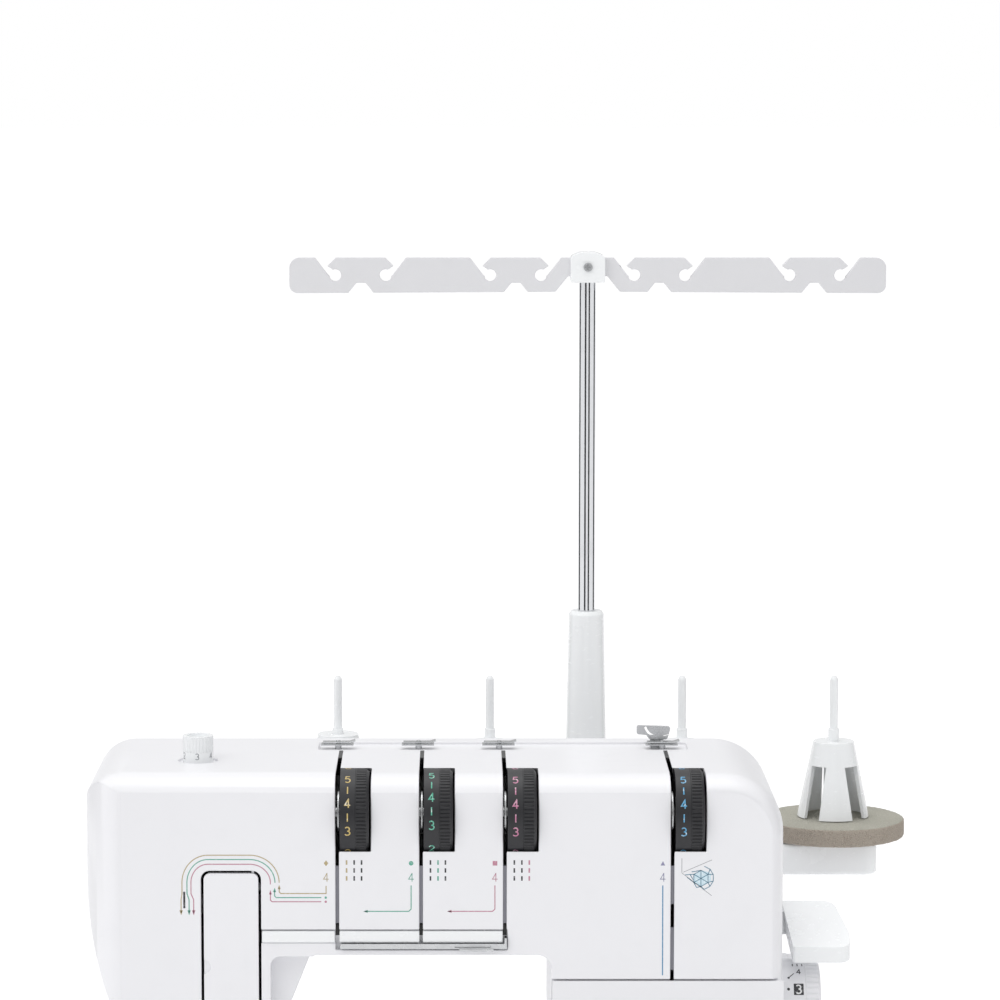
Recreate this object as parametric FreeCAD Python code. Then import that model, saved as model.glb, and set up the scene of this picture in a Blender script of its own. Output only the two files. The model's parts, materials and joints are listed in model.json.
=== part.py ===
"""Four-thread cover stitch machine with a telescopic thread tree and a four-spool stand.

Millimetres. X runs to the operator's right, Y from the operator to the back, Z up.
The origin is on the table, under the middle of the whole machine.
Every function below makes one piece, and the end of the file writes each piece as a STEP file.
"""
import FreeCAD, Part
import math
import os
from FreeCAD import Vector

# ---------------------------------------------------------------- driving dimensions
WALL = 3.0                    # moulded casing wall
SEAT = 0.3                    # gap that a loose cover or a lifted-off piece sits at
RUN = 0.05                    # radial running clearance of a shaft in its bearing

BODY_LEFT = -217.0            # outer sides of the upper casing
BODY_RIGHT = 136.5
BODY_FRONT = -98.0
BODY_DEPTH = 120.0
BODY_TOP = 247.0
BODY_BACK = BODY_FRONT + BODY_DEPTH
PART_LINE = BODY_FRONT + 78.0  # where the front and rear casings meet
TOP_LEFT_ROUND = 20.0
TOP_RIGHT_ROUND = 30.0
FRONT_BEVEL = 9.0             # width of the rounded band round the front face
FRONT_BEVEL_DEPTH = 16.0

DECK = 20.0                   # top of the base, where everything stands
BASE_FRONT = -128.0
BASE_LEFT = -205.0
FOOT_HEIGHT = 4.0
FOOT_R = 9.0

BED_TOP = 66.0                # sewing surface
BED_LEFT = -197.0
BED_FRONT = -103.0
BED_BACK = -22.0
TABLE_LEFT = -217.0
TABLE_FRONT = -131.0

ARM_UNDERSIDE = 156.6
HEAD_BOTTOM = 112.0
COLUMN_LEFT = 19.5
SEAM = 144.3                  # lower edge of the fixed casing above the looper cover
COVER_GAP = 1.0
COVER_SIDE_BACK = -78.4       # rear edge of the looper cover's side walls

NEEDLE_X, NEEDLE_Y = -148.0, -66.0
NEEDLE_PITCH = 3.0
NEEDLE_STROKE = 26.0
PRESSER_X, PRESSER_Y = -160.5, -48.0
PRESSER_LIFT = 6.0

UPPER_SHAFT_Y, UPPER_SHAFT_Z = NEEDLE_Y, 186.0
MAIN_SHAFT_Y, MAIN_SHAFT_Z = -50.0, 50.0
SHAFT_R = 5.0
TIMING_X = 60.0               # plane of the timing belt
TIMING_R = 14.0
MOTOR_BELT_X = 112.0          # plane of the motor belt
DRIVE_R = 26.0
MOTOR_PULLEY_R = 6.5
MOTOR_Y, MOTOR_Z = -3.0, 52.0
MOTOR_R = 20.5
BELT = 1.5                    # belt thickness
FRAME_FRONT, FRAME_BACK = -32.0, -26.0

SLITS = (-88.0, -46.0, -4.0, 80.0)   # thread slits, one beside each tension dial
SLIT_WIDTH = 1.8
SLIT_BACK = BODY_FRONT + 57.0
DIAL_R = 22.5
DIAL_WIDTH = 14.5
DIAL_SMOOTH = 7.7             # width of the smooth, numbered part of the rim
DIAL_OFFSET = 1.4             # from the slit's middle to the dial
DIAL_Y = BODY_FRONT + 17.0
DIAL_Z = 225.8
DIAL_GAP = 1.0

KNOB_R, KNOB_TOP = 7.8, 260.0

STAND_Y = 92.0                # spool row, thread tree and spool stand
STAND_X = 42.5
STAND_LENGTH = 315.4
STAND_DEPTH = 52.0
STAND_LOW, STAND_HIGH = 163.2, 180.4
PIN_OFFSETS = (-135.5, -52.5, 52.5, 135.5)
PIN_TOP = 268.5
PIN_R, PIN_FOOT_R = 2.2, 2.9
PIN_STEP = 239.5
FOAM_R = 39.0
FOAM_THICK = 10.7
FOAM_EXTRA = (4.0, 0.0, 0.0, 0.0)    # the first pad is thicker
CONE_BASE_R, CONE_TOP_R, CONE_HEIGHT = 19.5, 11.0, 41.3
POST_TOP = 304.8
ROD_R = 4.5
ROD_TRAVEL = 100.0
TREE_LOW, TREE_HIGH = 477.7, 496.9
TREE_HALF = 161.0
TREE_THICK = 4.4
HUB_LOW, HUB_HIGH, HUB_HALF = 483.7, 500.0, 9.3

LEVER_Y, LEVER_Z = -8.0, 157.0
STITCH_Y, STITCH_Z, STITCH_R = BODY_FRONT + 45.0, 122.0, 22.0
FEED_Y, FEED_Z, FEED_R = 0.0, 118.0, 17.0
SIDE_DIAL_STUB = 3.0          # radius of both side dials' spindles
WHEEL_R = 36.0


# ---------------------------------------------------------------- plain solids
def box(x0, x1, y0, y1, z0, z1):
    return Part.makeBox(x1 - x0, y1 - y0, z1 - z0, Vector(x0, y0, z0))


def rod_x(y, z, radius, x0, x1):
    return Part.makeCylinder(radius, x1 - x0, Vector(x0, y, z), Vector(1, 0, 0))


def rod_y(x, z, radius, y0, y1):
    return Part.makeCylinder(radius, y1 - y0, Vector(x, y0, z), Vector(0, 1, 0))


def rod_z(x, y, radius, z0, z1):
    return Part.makeCylinder(radius, z1 - z0, Vector(x, y, z0), Vector(0, 0, 1))


def fuse(first, *others):
    return first.multiFuse(list(others)).removeSplitter()


def group(solids):
    return Part.makeCompound(solids)


# ---------------------------------------------------------------- outlines
def moved_outline(corners, amounts):
    """Corners (a, b, radius) of a counterclockwise outline with side i moved inwards by amounts[i]."""
    count = len(corners)
    result = []
    for i, (bx, by, radius) in enumerate(corners):
        ax, ay, _ = corners[i - 1]
        cx, cy, _ = corners[(i + 1) % count]
        before, after = math.hypot(bx - ax, by - ay), math.hypot(cx - bx, cy - by)
        d1 = ((bx - ax) / before, (by - ay) / before)
        d2 = ((cx - bx) / after, (cy - by) / after)
        n1, n2 = (-d1[1], d1[0]), (-d2[1], d2[0])
        m1, m2 = amounts[i - 1], amounts[i]
        dot = n1[0] * n2[0] + n1[1] * n2[1]
        u, v = (m1 - dot * m2) / (1 - dot * dot), (m2 - dot * m1) / (1 - dot * dot)
        outer = d1[0] * d2[1] - d1[1] * d2[0] > 0
        change = (m1 + m2) / 2
        new_radius = radius - change if outer else radius + change
        result.append((bx + u * n1[0] + v * n2[0], by + u * n1[1] + v * n2[1], max(new_radius, 0.6)))
    return result


def closed_wire(corners, place):
    """A wire through corners (a, b, radius), each rounded by its radius; place(a, b) gives a point."""
    count = len(corners)
    entries, exits, middles = [], [], []
    for i, (bx, by, radius) in enumerate(corners):
        ax, ay, _ = corners[i - 1]
        cx, cy, _ = corners[(i + 1) % count]
        before, after = math.hypot(bx - ax, by - ay), math.hypot(cx - bx, cy - by)
        d1 = ((bx - ax) / before, (by - ay) / before)
        d2 = ((cx - bx) / after, (cy - by) / after)
        turn = abs(math.atan2(d1[0] * d2[1] - d1[1] * d2[0], d1[0] * d2[0] + d1[1] * d2[1]))
        reach = radius * math.tan(turn / 2)
        entries.append((bx - d1[0] * reach, by - d1[1] * reach))
        exits.append((bx + d2[0] * reach, by + d2[1] * reach))
        bx2, by2 = d2[0] - d1[0], d2[1] - d1[1]
        length = math.hypot(bx2, by2)
        sag = radius / math.cos(turn / 2) - radius
        middles.append((bx + bx2 / length * sag, by + by2 / length * sag))
    edges = []
    for i, (_, _, radius) in enumerate(corners):
        start, end = place(*exits[i - 1]), place(*entries[i])
        if start.distanceToPoint(end) > 1e-4:
            edges.append(Part.LineSegment(start, end).toShape())
        if radius > 0:
            edges.append(Part.Arc(end, place(*middles[i]), place(*exits[i])).toShape())
    return Part.Wire(edges)


def plate_y(corners, y0, y1):
    """An outline in X and Z, from y0 to y1."""
    wire = closed_wire(corners, lambda a, b: Vector(a, y0, b))
    return Part.Face(wire).extrude(Vector(0, y1 - y0, 0))


def plate_z(corners, z0, z1):
    """An outline in X and Y, from z0 to z1."""
    wire = closed_wire(corners, lambda a, b: Vector(a, b, z0))
    return Part.Face(wire).extrude(Vector(0, 0, z1 - z0))


def plate_x(corners, x0, x1):
    """An outline in Y and Z, from x0 to x1."""
    wire = closed_wire(corners, lambda a, b: Vector(x0, a, b))
    return Part.Face(wire).extrude(Vector(x1 - x0, 0, 0))


def rectangle(a0, a1, b0, b1, radius=0.0):
    return [(a0, b0, radius), (a1, b0, radius), (a1, b1, radius), (a0, b1, radius)]


# ---------------------------------------------------------------- upper casing
def casing_outline():
    """The C-shaped front view: head, arm and column, counterclockwise from the head's lower left."""
    bend = math.radians(26.3)          # how far the head's left side leans in at the bottom
    bend_radius = 170.0
    bend_z = 200.0 - bend_radius * math.tan(bend / 2)
    foot_x = BODY_LEFT + (bend_z - HEAD_BOTTOM) * math.tan(bend)
    return [(foot_x, HEAD_BOTTOM, 14.0), (-119.2, HEAD_BOTTOM, 12.0), (-101.2, ARM_UNDERSIDE, 5.0),
            (COLUMN_LEFT, ARM_UNDERSIDE, 7.5), (COLUMN_LEFT, DECK, 2.0), (BODY_RIGHT, DECK, 4.0),
            (BODY_RIGHT, BODY_TOP, TOP_RIGHT_ROUND), (BODY_LEFT, BODY_TOP, TOP_LEFT_ROUND),
            (BODY_LEFT, bend_z, bend_radius)]


def plan_outline(wall):
    """The view from above: the head's front left corner is a long soft curve."""
    corners = [(BODY_LEFT + 14.2, BODY_FRONT, 12.0), (BODY_RIGHT, BODY_FRONT, 0.0),
               (BODY_RIGHT, BODY_BACK, 8.0), (BODY_LEFT, BODY_BACK, 8.0),
               (BODY_LEFT, BODY_FRONT + 24.5, 76.0)]
    return moved_outline(corners, [wall] * len(corners)) if wall else corners


def casing_solid(wall):
    """The casing's outer form, or with a wall thickness the space inside it."""
    outline = casing_outline()
    bevel_share = (0.2, 0.0, 0.0, 0.0, 0.0, 0.8, 1.0, 0.0, 0.0)
    rear_share = (1.0, 1.0, 0.3, 0.3, 0.3, 1.0, 1.0, 1.0, 1.0)
    quarter = [math.radians(a) for a in (8.0, 25.0, 45.0, 65.0, 90.0)]
    front_steps = [(FRONT_BEVEL_DEPTH * (1 - math.cos(a)), FRONT_BEVEL * (1 - math.sin(a))) for a in quarter]
    rear_round = 5.0
    sections = [(BODY_FRONT + wall + depth - front_steps[0][0], inset, bevel_share)
                for depth, inset in front_steps]
    sections += [(BODY_BACK - wall - rear_round * (1 - math.sin(a)), rear_round * (1 - math.cos(a)), rear_share)
                 for a in (0.0, math.radians(35.0), math.radians(65.0), math.radians(90.0))]
    wires = []
    for y, inset, share in sections:
        corners = moved_outline(outline, [wall + inset * s for s in share])
        wires.append(closed_wire(corners, lambda a, b, y=y: Vector(a, y, b)))
    form = Part.makeLoft(wires, True, True)
    plan = plate_z(plan_outline(wall), DECK - 1.0, BODY_TOP + 1.0)
    return form.common(plan)


def head_recess(grow):
    """The step to the right of the needle cover, where the casing is set back from the front."""
    return plate_y(rectangle(-121.5 - grow, -96.0 + grow, 90.0, 155.8 + grow, 5.0),
                   BODY_FRONT - 1.0, BODY_FRONT + 10.0 + grow)


LEDGE_LEFT, LEDGE_RIGHT = -126.4, -2.6
LEDGE_LOW, LEDGE_HIGH = 163.0, 168.9       # lower and upper edges of the ledge strips
GUIDE_LOW = 159.2


def ledge_pocket(grow):
    """The pocket along the bottom of the arm for the ledge strips and, right of the first, the guide plate."""
    y0, y1, high = BODY_FRONT - 1.0, BODY_FRONT + 4.0 + grow, LEDGE_HIGH + 0.7 + grow
    strips = box(LEDGE_LEFT - grow, LEDGE_RIGHT + grow, y0, y1, LEDGE_LOW - 0.2 - grow, high)
    return strips.fuse(box(SLITS[0] - SLIT_WIDTH / 2 - grow, LEDGE_RIGHT + grow, y0, y1, GUIDE_LOW - grow, high))


def casing_shell():
    outer = casing_solid(0.0).cut(head_recess(0.0)).cut(ledge_pocket(0.0))
    inner = casing_solid(WALL).cut(head_recess(WALL)).cut(ledge_pocket(WALL - 0.6))
    open_bottom = box(COLUMN_LEFT + WALL, BODY_RIGHT - WALL, BODY_FRONT + 15.0, BODY_BACK - WALL,
                      DECK - 1.0, DECK + WALL + 1.0)
    return outer.cut(inner).cut(open_bottom)


# The looper cover's rear edge, as points in Y and Z from the seam down to the deck.
COVER_EDGE = [(-95.4, SEAM), (-84.0, 112.0), (-78.0, 84.0), (-78.0, DECK)]


def looper_opening():
    points = [(-140.0, DECK - 2.0, 0.0), (-78.0, DECK - 2.0, 0.0), (-78.0, 84.0, 0.0),
              (-84.0, 112.0, 0.0), (-95.4, SEAM, 0.0), (-140.0, SEAM, 0.0)]
    return plate_x(points, COLUMN_LEFT - 1.0, BODY_RIGHT + 1.0)


def dial_slot(x):
    """The opening for one tension dial, from the thread slit to a gap past the dial."""
    left, right = x - SLIT_WIDTH / 2, x + DIAL_OFFSET + DIAL_WIDTH + DIAL_GAP
    return rod_x(DIAL_Y, DIAL_Z, DIAL_R + DIAL_GAP, left, right)


SLIT_OPEN = 202.0             # above this height a slit is open into the casing
GROOVE_DEPTH = 1.8            # below it the slit is a groove with short windows
LOW_WINDOWS = ((169.0, 172.5),)
LAST_WINDOWS = ((170.6, 182.2), (SEAM - 1.0, 148.5))


def thread_slit(x, windows):
    """A slit open into the casing above, and a groove below it with windows, each (low, high)."""
    half = SLIT_WIDTH / 2
    bottom = min(low for low, _ in windows)
    cuts = [box(x - half, x + half, BODY_FRONT - 1.0, SLIT_BACK, SLIT_OPEN, BODY_TOP + 1.0),
            box(x - half, x + half, BODY_FRONT - 1.0, BODY_FRONT + GROOVE_DEPTH, bottom, SLIT_OPEN)]
    return cuts + [box(x - half, x + half, BODY_FRONT, BODY_FRONT + WALL + 1.0, low, high) for low, high in windows]


FACE_LEFT, FACE_RIGHT, FACE_LOW, FACE_HIGH = -156.4, -126.2, 118.0, 199.6
FACE_GAP = 1.4
HINGE_X, HINGE_Y = -130.4, BODY_FRONT + 2.2
HINGE_PIN_R = 0.9


def front_casing():
    shell = casing_shell().common(box(-250.0, 150.0, -150.0, PART_LINE, 0.0, 260.0))
    cuts = [looper_opening(),
            plate_y(rectangle(FACE_LEFT, FACE_RIGHT, FACE_LOW, FACE_HIGH, 4.5), BODY_FRONT - 2.0,
                    BODY_FRONT + WALL + 4.0),
            rod_z(PRESSER_X, PRESSER_Y, 7.0, BODY_TOP - 6.0, BODY_TOP + 2.0),
            rod_z(PRESSER_X, PRESSER_Y, 10.0, BODY_TOP - 1.2, BODY_TOP + 2.0),
            rod_z(PRESSER_X, PRESSER_Y, 5.0, HEAD_BOTTOM - 2.0, HEAD_BOTTOM + 8.0),
            rod_z(NEEDLE_X, NEEDLE_Y, 5.4, HEAD_BOTTOM - 2.0, HEAD_BOTTOM + 8.0),
            box(COLUMN_LEFT - 1.0, COLUMN_LEFT + WALL + 1.0, -74.0, PART_LINE + 1.0, DECK - 1.0, 62.0),
            rod_x(MAIN_SHAFT_Y, MAIN_SHAFT_Z, SHAFT_R + 1.0, BODY_RIGHT - 6.0, BODY_RIGHT + 2.0)]
    for x in SLITS:
        cuts.append(dial_slot(x))
        cuts.extend(thread_slit(x, LAST_WINDOWS if x == SLITS[-1] else LOW_WINDOWS))
    shell = shell.cut(Part.makeCompound(cuts))
    boss = rod_x(STITCH_Y, STITCH_Z, 6.5, BODY_RIGHT - WALL - 7.0, BODY_RIGHT - WALL + 0.5)
    lugs = [box(HINGE_X - 3.0, HINGE_X + 3.6, BODY_FRONT + 0.5, BODY_FRONT + 6.0, FACE_HIGH, FACE_HIGH + 5.0),
            box(HINGE_X - 3.0, HINGE_X + 3.6, BODY_FRONT + 0.5, BODY_FRONT + 6.0, HEAD_BOTTOM, FACE_LOW)]
    shell = fuse(shell, boss, *lugs)
    shell = shell.cut(rod_x(STITCH_Y, STITCH_Z, SIDE_DIAL_STUB + RUN, BODY_RIGHT - 12.0, BODY_RIGHT + 1.0))
    return shell.cut(rod_z(HINGE_X, HINGE_Y, HINGE_PIN_R + 0.02, HEAD_BOTTOM + 2.5, FACE_HIGH + 4.0))


TRENCH_DEPTH = 1.5            # shallow trench along the top that carries the thread clips
TRENCH = (-100.0, 92.0, BODY_FRONT + 80.0, BODY_FRONT + 104.0)
INLET_X, INLET_Z = 104.0, 40.0
SWITCH_Y, SWITCH_Z = 9.5, 51.0


def rear_casing():
    shell = casing_shell().common(box(-250.0, 150.0, PART_LINE, 60.0, 0.0, 260.0))
    x0, x1, y0, y1 = TRENCH
    cuts = [plate_z(rectangle(x0, x1, y0, y1, 3.0), BODY_TOP - TRENCH_DEPTH, BODY_TOP + 1.0),
            box(INLET_X - 11.3, INLET_X + 11.3, BODY_BACK - 5.0, BODY_BACK + 1.0, INLET_Z - 8.3, INLET_Z + 8.3),
            box(BODY_RIGHT - 6.0, BODY_RIGHT + 1.0, SWITCH_Y - 8.0, SWITCH_Y + 8.0,
                SWITCH_Z - 10.9, SWITCH_Z + 10.9)]
    shell = shell.cut(Part.makeCompound(cuts))
    bosses = [rod_x(FEED_Y, FEED_Z, 6.5, BODY_RIGHT - WALL - 7.0, BODY_RIGHT - WALL + 0.5),
              rod_x(LEVER_Y, LEVER_Z, 7.5, BODY_RIGHT - WALL - 9.0, BODY_RIGHT - WALL + 0.5)]
    shell = fuse(shell, *bosses)
    holes = [rod_x(FEED_Y, FEED_Z, SIDE_DIAL_STUB + RUN, BODY_RIGHT - 12.0, BODY_RIGHT + 1.0),
             rod_x(LEVER_Y, LEVER_Z, 4.0 + RUN, BODY_RIGHT - 14.0, BODY_RIGHT + 1.0)]
    holes += [rod_y(x, z, SCREW_R + 0.1, BODY_BACK - 5.0, BODY_BACK + 1.0) for x, z in REAR_SCREWS]
    return shell.cut(Part.makeCompound(holes))


SCREW_R, SCREW_HEAD_R = 1.5, 3.2
SCREW_TOP = BODY_BACK + 1.8
REAR_SCREWS = ((-190.0, 150.0), (-190.0, 225.0), (-40.0, 225.0), (110.0, 225.0), (124.0, 70.0), (40.0, 70.0))


def casing_screws():
    """Pan-head screws in the back, each with a cross recess."""
    head, arm, width = SCREW_HEAD_R, 2.0, 0.4
    solids = []
    for x, z in REAR_SCREWS:
        screw = fuse(rod_y(x, z, SCREW_R, BODY_BACK - 6.0, BODY_BACK + 0.5), rod_y(x, z, head, BODY_BACK, SCREW_TOP))
        cross = [box(x - arm, x + arm, SCREW_TOP - 1.0, SCREW_TOP + 1.0, z - width, z + width),
                 box(x - width, x + width, SCREW_TOP - 1.0, SCREW_TOP + 1.0, z - arm, z + arm)]
        solids.append(screw.cut(Part.makeCompound(cross)))
    return group(solids)


def face_cover():
    """The hinged needle cover; its right edge is a round barrel on the hinge pin."""
    left, right = FACE_LEFT + FACE_GAP, FACE_RIGHT - FACE_GAP
    low, high = FACE_LOW + FACE_GAP, FACE_HIGH - FACE_GAP
    panel = plate_y(rectangle(left, right, low, high, 3.2), BODY_FRONT, BODY_FRONT + WALL)
    barrel = rod_z(HINGE_X, HINGE_Y, 2.2, low + 3.5, high - 3.5)
    rib = box(left + 2.0, left + 4.0, BODY_FRONT + WALL - 0.5, BODY_FRONT + 8.0, low + 6.0, high - 6.0)
    notch = rod_y(left, 150.5, 3.4, BODY_FRONT - 1.0, BODY_FRONT + 1.2)
    cover = fuse(panel, barrel, rib).cut(notch)
    return cover.cut(rod_z(HINGE_X, HINGE_Y, HINGE_PIN_R + RUN, low - 2.0, high + 2.0))


COVER_HINGE_Y, COVER_HINGE_Z = TABLE_FRONT + 1.6, DECK + 2.4
COVER_LUGS = (32.0, 118.0)


def hinge_pins():
    return group([rod_z(HINGE_X, HINGE_Y, HINGE_PIN_R, HEAD_BOTTOM + 3.0, FACE_HIGH + 3.5),
                  rod_x(COVER_HINGE_Y, COVER_HINGE_Z, HINGE_PIN_R, COLUMN_LEFT + 4.5, BODY_RIGHT - 4.5)])


def cover_profile(grow):
    """The looper cover in Y and Z: flush at the seam, swelling forward, round at the hinge."""
    top = SEAM - COVER_GAP - grow
    gap = 0.5
    back = COVER_SIDE_BACK
    return [(TABLE_FRONT + grow, DECK + 0.8, 1.5), (back, DECK + 0.8, 0.0), (back, 84.0 - gap, 0.0),
            (-84.0 - gap, 112.0, 0.0), (-95.4 - gap, top, 0.0), (BODY_FRONT + grow, top, 0.4),
            (BODY_FRONT + grow - 2.0, 128.0, 40.0), (TABLE_FRONT + grow, 88.0, 45.0)]


def looper_cover():
    x0, x1 = COLUMN_LEFT + 0.4, BODY_RIGHT - 0.4
    outer = plate_x(cover_profile(0.0), x0, x1)
    hollow = [(TABLE_FRONT + WALL, DECK - 5.0, 0.0), (-60.0, DECK - 5.0, 0.0), (-60.0, 139.8, 0.0),
              (BODY_FRONT + WALL - 0.2, 139.8, 0.4), (BODY_FRONT + WALL - 2.2, 127.5, 38.0),
              (TABLE_FRONT + WALL, 87.0, 43.0)]
    cover = outer.cut(plate_x(hollow, x0 + WALL, x1 - WALL))
    notches = [box(x - 3.5, x + 3.5, TABLE_FRONT - 1.0, TABLE_FRONT + 6.0, DECK, DECK + 5.2) for x in COVER_LUGS]
    grip = plate_y(rectangle(x1 - 34.0, x1 - 12.0, 112.0, 120.0, 3.5), TABLE_FRONT - 1.0, -111.5)
    cover = cover.cut(Part.makeCompound(notches + [grip]))
    return cover.cut(rod_x(COVER_HINGE_Y, COVER_HINGE_Z, HINGE_PIN_R + RUN, x0 - 1.0, x1 + 1.0))


# ---------------------------------------------------------------- base, bed and table
def base_tray():
    """A deck with a skirt, open underneath, and two lugs that carry the looper cover's pin."""
    outline = rectangle(BASE_LEFT, BODY_RIGHT - 1.5, BASE_FRONT, BODY_BACK - 1.0, 12.0)
    tray = plate_z(outline, FOOT_HEIGHT, DECK)
    hollow = moved_outline(outline, [WALL] * 4)
    tray = tray.cut(plate_z(hollow, FOOT_HEIGHT - 1.0, DECK - 3.5))
    lugs = [box(x - 3.0, x + 3.0, TABLE_FRONT + 0.2, BASE_FRONT + 2.0, 12.0, DECK + 3.8) for x in COVER_LUGS]
    tray = fuse(tray, *lugs)
    return tray.cut(rod_x(COVER_HINGE_Y, COVER_HINGE_Z, HINGE_PIN_R + 0.02, 20.0, 132.0))


def bottom_plate():
    outline = moved_outline(rectangle(BASE_LEFT, BODY_RIGHT - 1.5, BASE_FRONT, BODY_BACK - 1.0, 12.0),
                            [WALL + 0.2] * 4)
    return plate_z(outline, FOOT_HEIGHT, FOOT_HEIGHT + 1.5)


FOOT_PLACES = ((BASE_LEFT + 18.0, BASE_FRONT + 18.0), (BODY_RIGHT - 19.5, BASE_FRONT + 18.0),
               (BODY_RIGHT - 19.5, BODY_BACK - 19.0), (BASE_LEFT + 18.0, BODY_BACK - 19.0))


def rubber_feet():
    return group([rod_z(x, y, FOOT_R, 0.0, FOOT_HEIGHT) for x, y in FOOT_PLACES])


PLATE = (-187.0, -108.0, -99.0, -30.0)      # needle plate in X and Y
PLATE_THICK = 2.0
ATTACH_X, ATTACH_YS = -40.0, (-88.0, -64.0)
ATTACH_R = 1.65


def bed_casing():
    """The free arm: a long box round the lower shaft, open to the column on its right."""
    outer = plate_z([(BED_LEFT, BED_FRONT, 12.0), (COLUMN_LEFT - SEAT, BED_FRONT, 0.0),
                     (COLUMN_LEFT - SEAT, BED_BACK, 0.0), (BED_LEFT, BED_BACK, 12.0)], DECK, BED_TOP)
    inner = box(BED_LEFT + 4.0, COLUMN_LEFT + 1.0, BED_FRONT + WALL, BED_BACK - WALL, DECK - 1.0, BED_TOP - 4.0)
    x0, x1, y0, y1 = PLATE
    gap = 0.2
    pocket = plate_z(rectangle(x0 - gap, x1 + gap, y0 - gap, y1 + gap, 4.0), BED_TOP - PLATE_THICK, BED_TOP + 1.0)
    well = box(x0 + 5.0, x1 - 5.0, y0 + 5.0, y1 - 5.0, BED_TOP - 6.0, BED_TOP)
    pads = [rod_z(ATTACH_X, y, 4.5, BED_TOP - 9.0, BED_TOP - 3.5) for y in ATTACH_YS]
    bed = fuse(outer.cut(inner), *pads).cut(Part.makeCompound([pocket, well]))
    return bed.cut(Part.makeCompound([rod_z(ATTACH_X, y, ATTACH_R, BED_TOP - 10.0, BED_TOP + 1.0)
                                      for y in ATTACH_YS]))


FEED_BARS = ((-156.8, -154.4), (-141.6, -139.2))
FEED_FRONT, FEED_BACK = -78.0, -54.0
FEED_TRAVEL = 2.0


def needle_plate():
    x0, x1, y0, y1 = PLATE
    plate = plate_z(rectangle(x0, x1, y0, y1, 3.8), BED_TOP - PLATE_THICK, BED_TOP)
    slots = [box(NEEDLE_X - 5.0, NEEDLE_X + 5.0, NEEDLE_Y - 2.0, NEEDLE_Y + 2.0, BED_TOP - 3.0, BED_TOP + 1.0)]
    slots += [box(a - 0.5, b + 0.5, FEED_FRONT - FEED_TRAVEL - 1.0, FEED_BACK + FEED_TRAVEL + 1.0,
                  BED_TOP - 3.0, BED_TOP + 1.0) for a, b in FEED_BARS]
    return plate.cut(Part.makeCompound(slots))


def feed_dog():
    bars = [box(a, b, FEED_FRONT, FEED_BACK, 56.0, BED_TOP - 0.2) for a, b in FEED_BARS]
    teeth = [box(a - 0.5, b + 0.5, y, y + 1.0, BED_TOP - 0.9, BED_TOP) for a, b in FEED_BARS
             for y in (FEED_FRONT + 1.0 + 2.4 * k for k in range(10))]
    bridge = box(FEED_BARS[0][0], FEED_BARS[1][1], -58.0, FEED_BACK, 44.5, 57.0)
    slide_foot = box(NEEDLE_X - 4.0, NEEDLE_X + 4.0, -58.0, FRAME_FRONT - FEED_TRAVEL - SEAT, 36.0 + SEAT, 45.0)
    return fuse(bars[0], bars[1], bridge, slide_foot).cut(Part.makeCompound(teeth))


def extension_table():
    """A table that wraps round the free arm and slides off to the left."""
    outer = plate_z([(TABLE_LEFT, TABLE_FRONT, 14.0), (COLUMN_LEFT - SEAT, TABLE_FRONT, 2.0),
                     (COLUMN_LEFT - SEAT, BODY_BACK - 2.0, 2.0), (TABLE_LEFT, BODY_BACK - 2.0, 14.0)],
                    DECK + SEAT, BED_TOP)
    arm = box(BED_LEFT - SEAT, 60.0, BED_FRONT - SEAT, BED_BACK + SEAT, DECK - 1.0, BED_TOP + 1.0)
    hollows = [box(TABLE_LEFT + WALL + 3.0, COLUMN_LEFT - 4.0, TABLE_FRONT + WALL, BED_FRONT - WALL,
                   DECK - 1.0, BED_TOP - WALL),
               box(TABLE_LEFT + WALL + 3.0, COLUMN_LEFT - 4.0, BED_BACK + WALL, BODY_BACK - 2.0 - WALL,
                   DECK - 1.0, BED_TOP - WALL),
               box(TABLE_LEFT + WALL, BED_LEFT - WALL, TABLE_FRONT + 12.0, BODY_BACK - 14.0,
                   DECK - 1.0, BED_TOP - WALL)]
    return outer.cut(Part.makeCompound([arm])).cut(Part.makeCompound(hollows))


# ---------------------------------------------------------------- frame and drive train
UPPER_BEARINGS = (-102.0, 30.0, 70.0)
MAIN_BEARINGS = (-112.0, 8.0, 88.0)
BEARING_HALF = 5.0
NEEDLE_GUIDES = ((160.0, 167.5), (216.0, 224.0))   # below and above the link's whole travel


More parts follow.
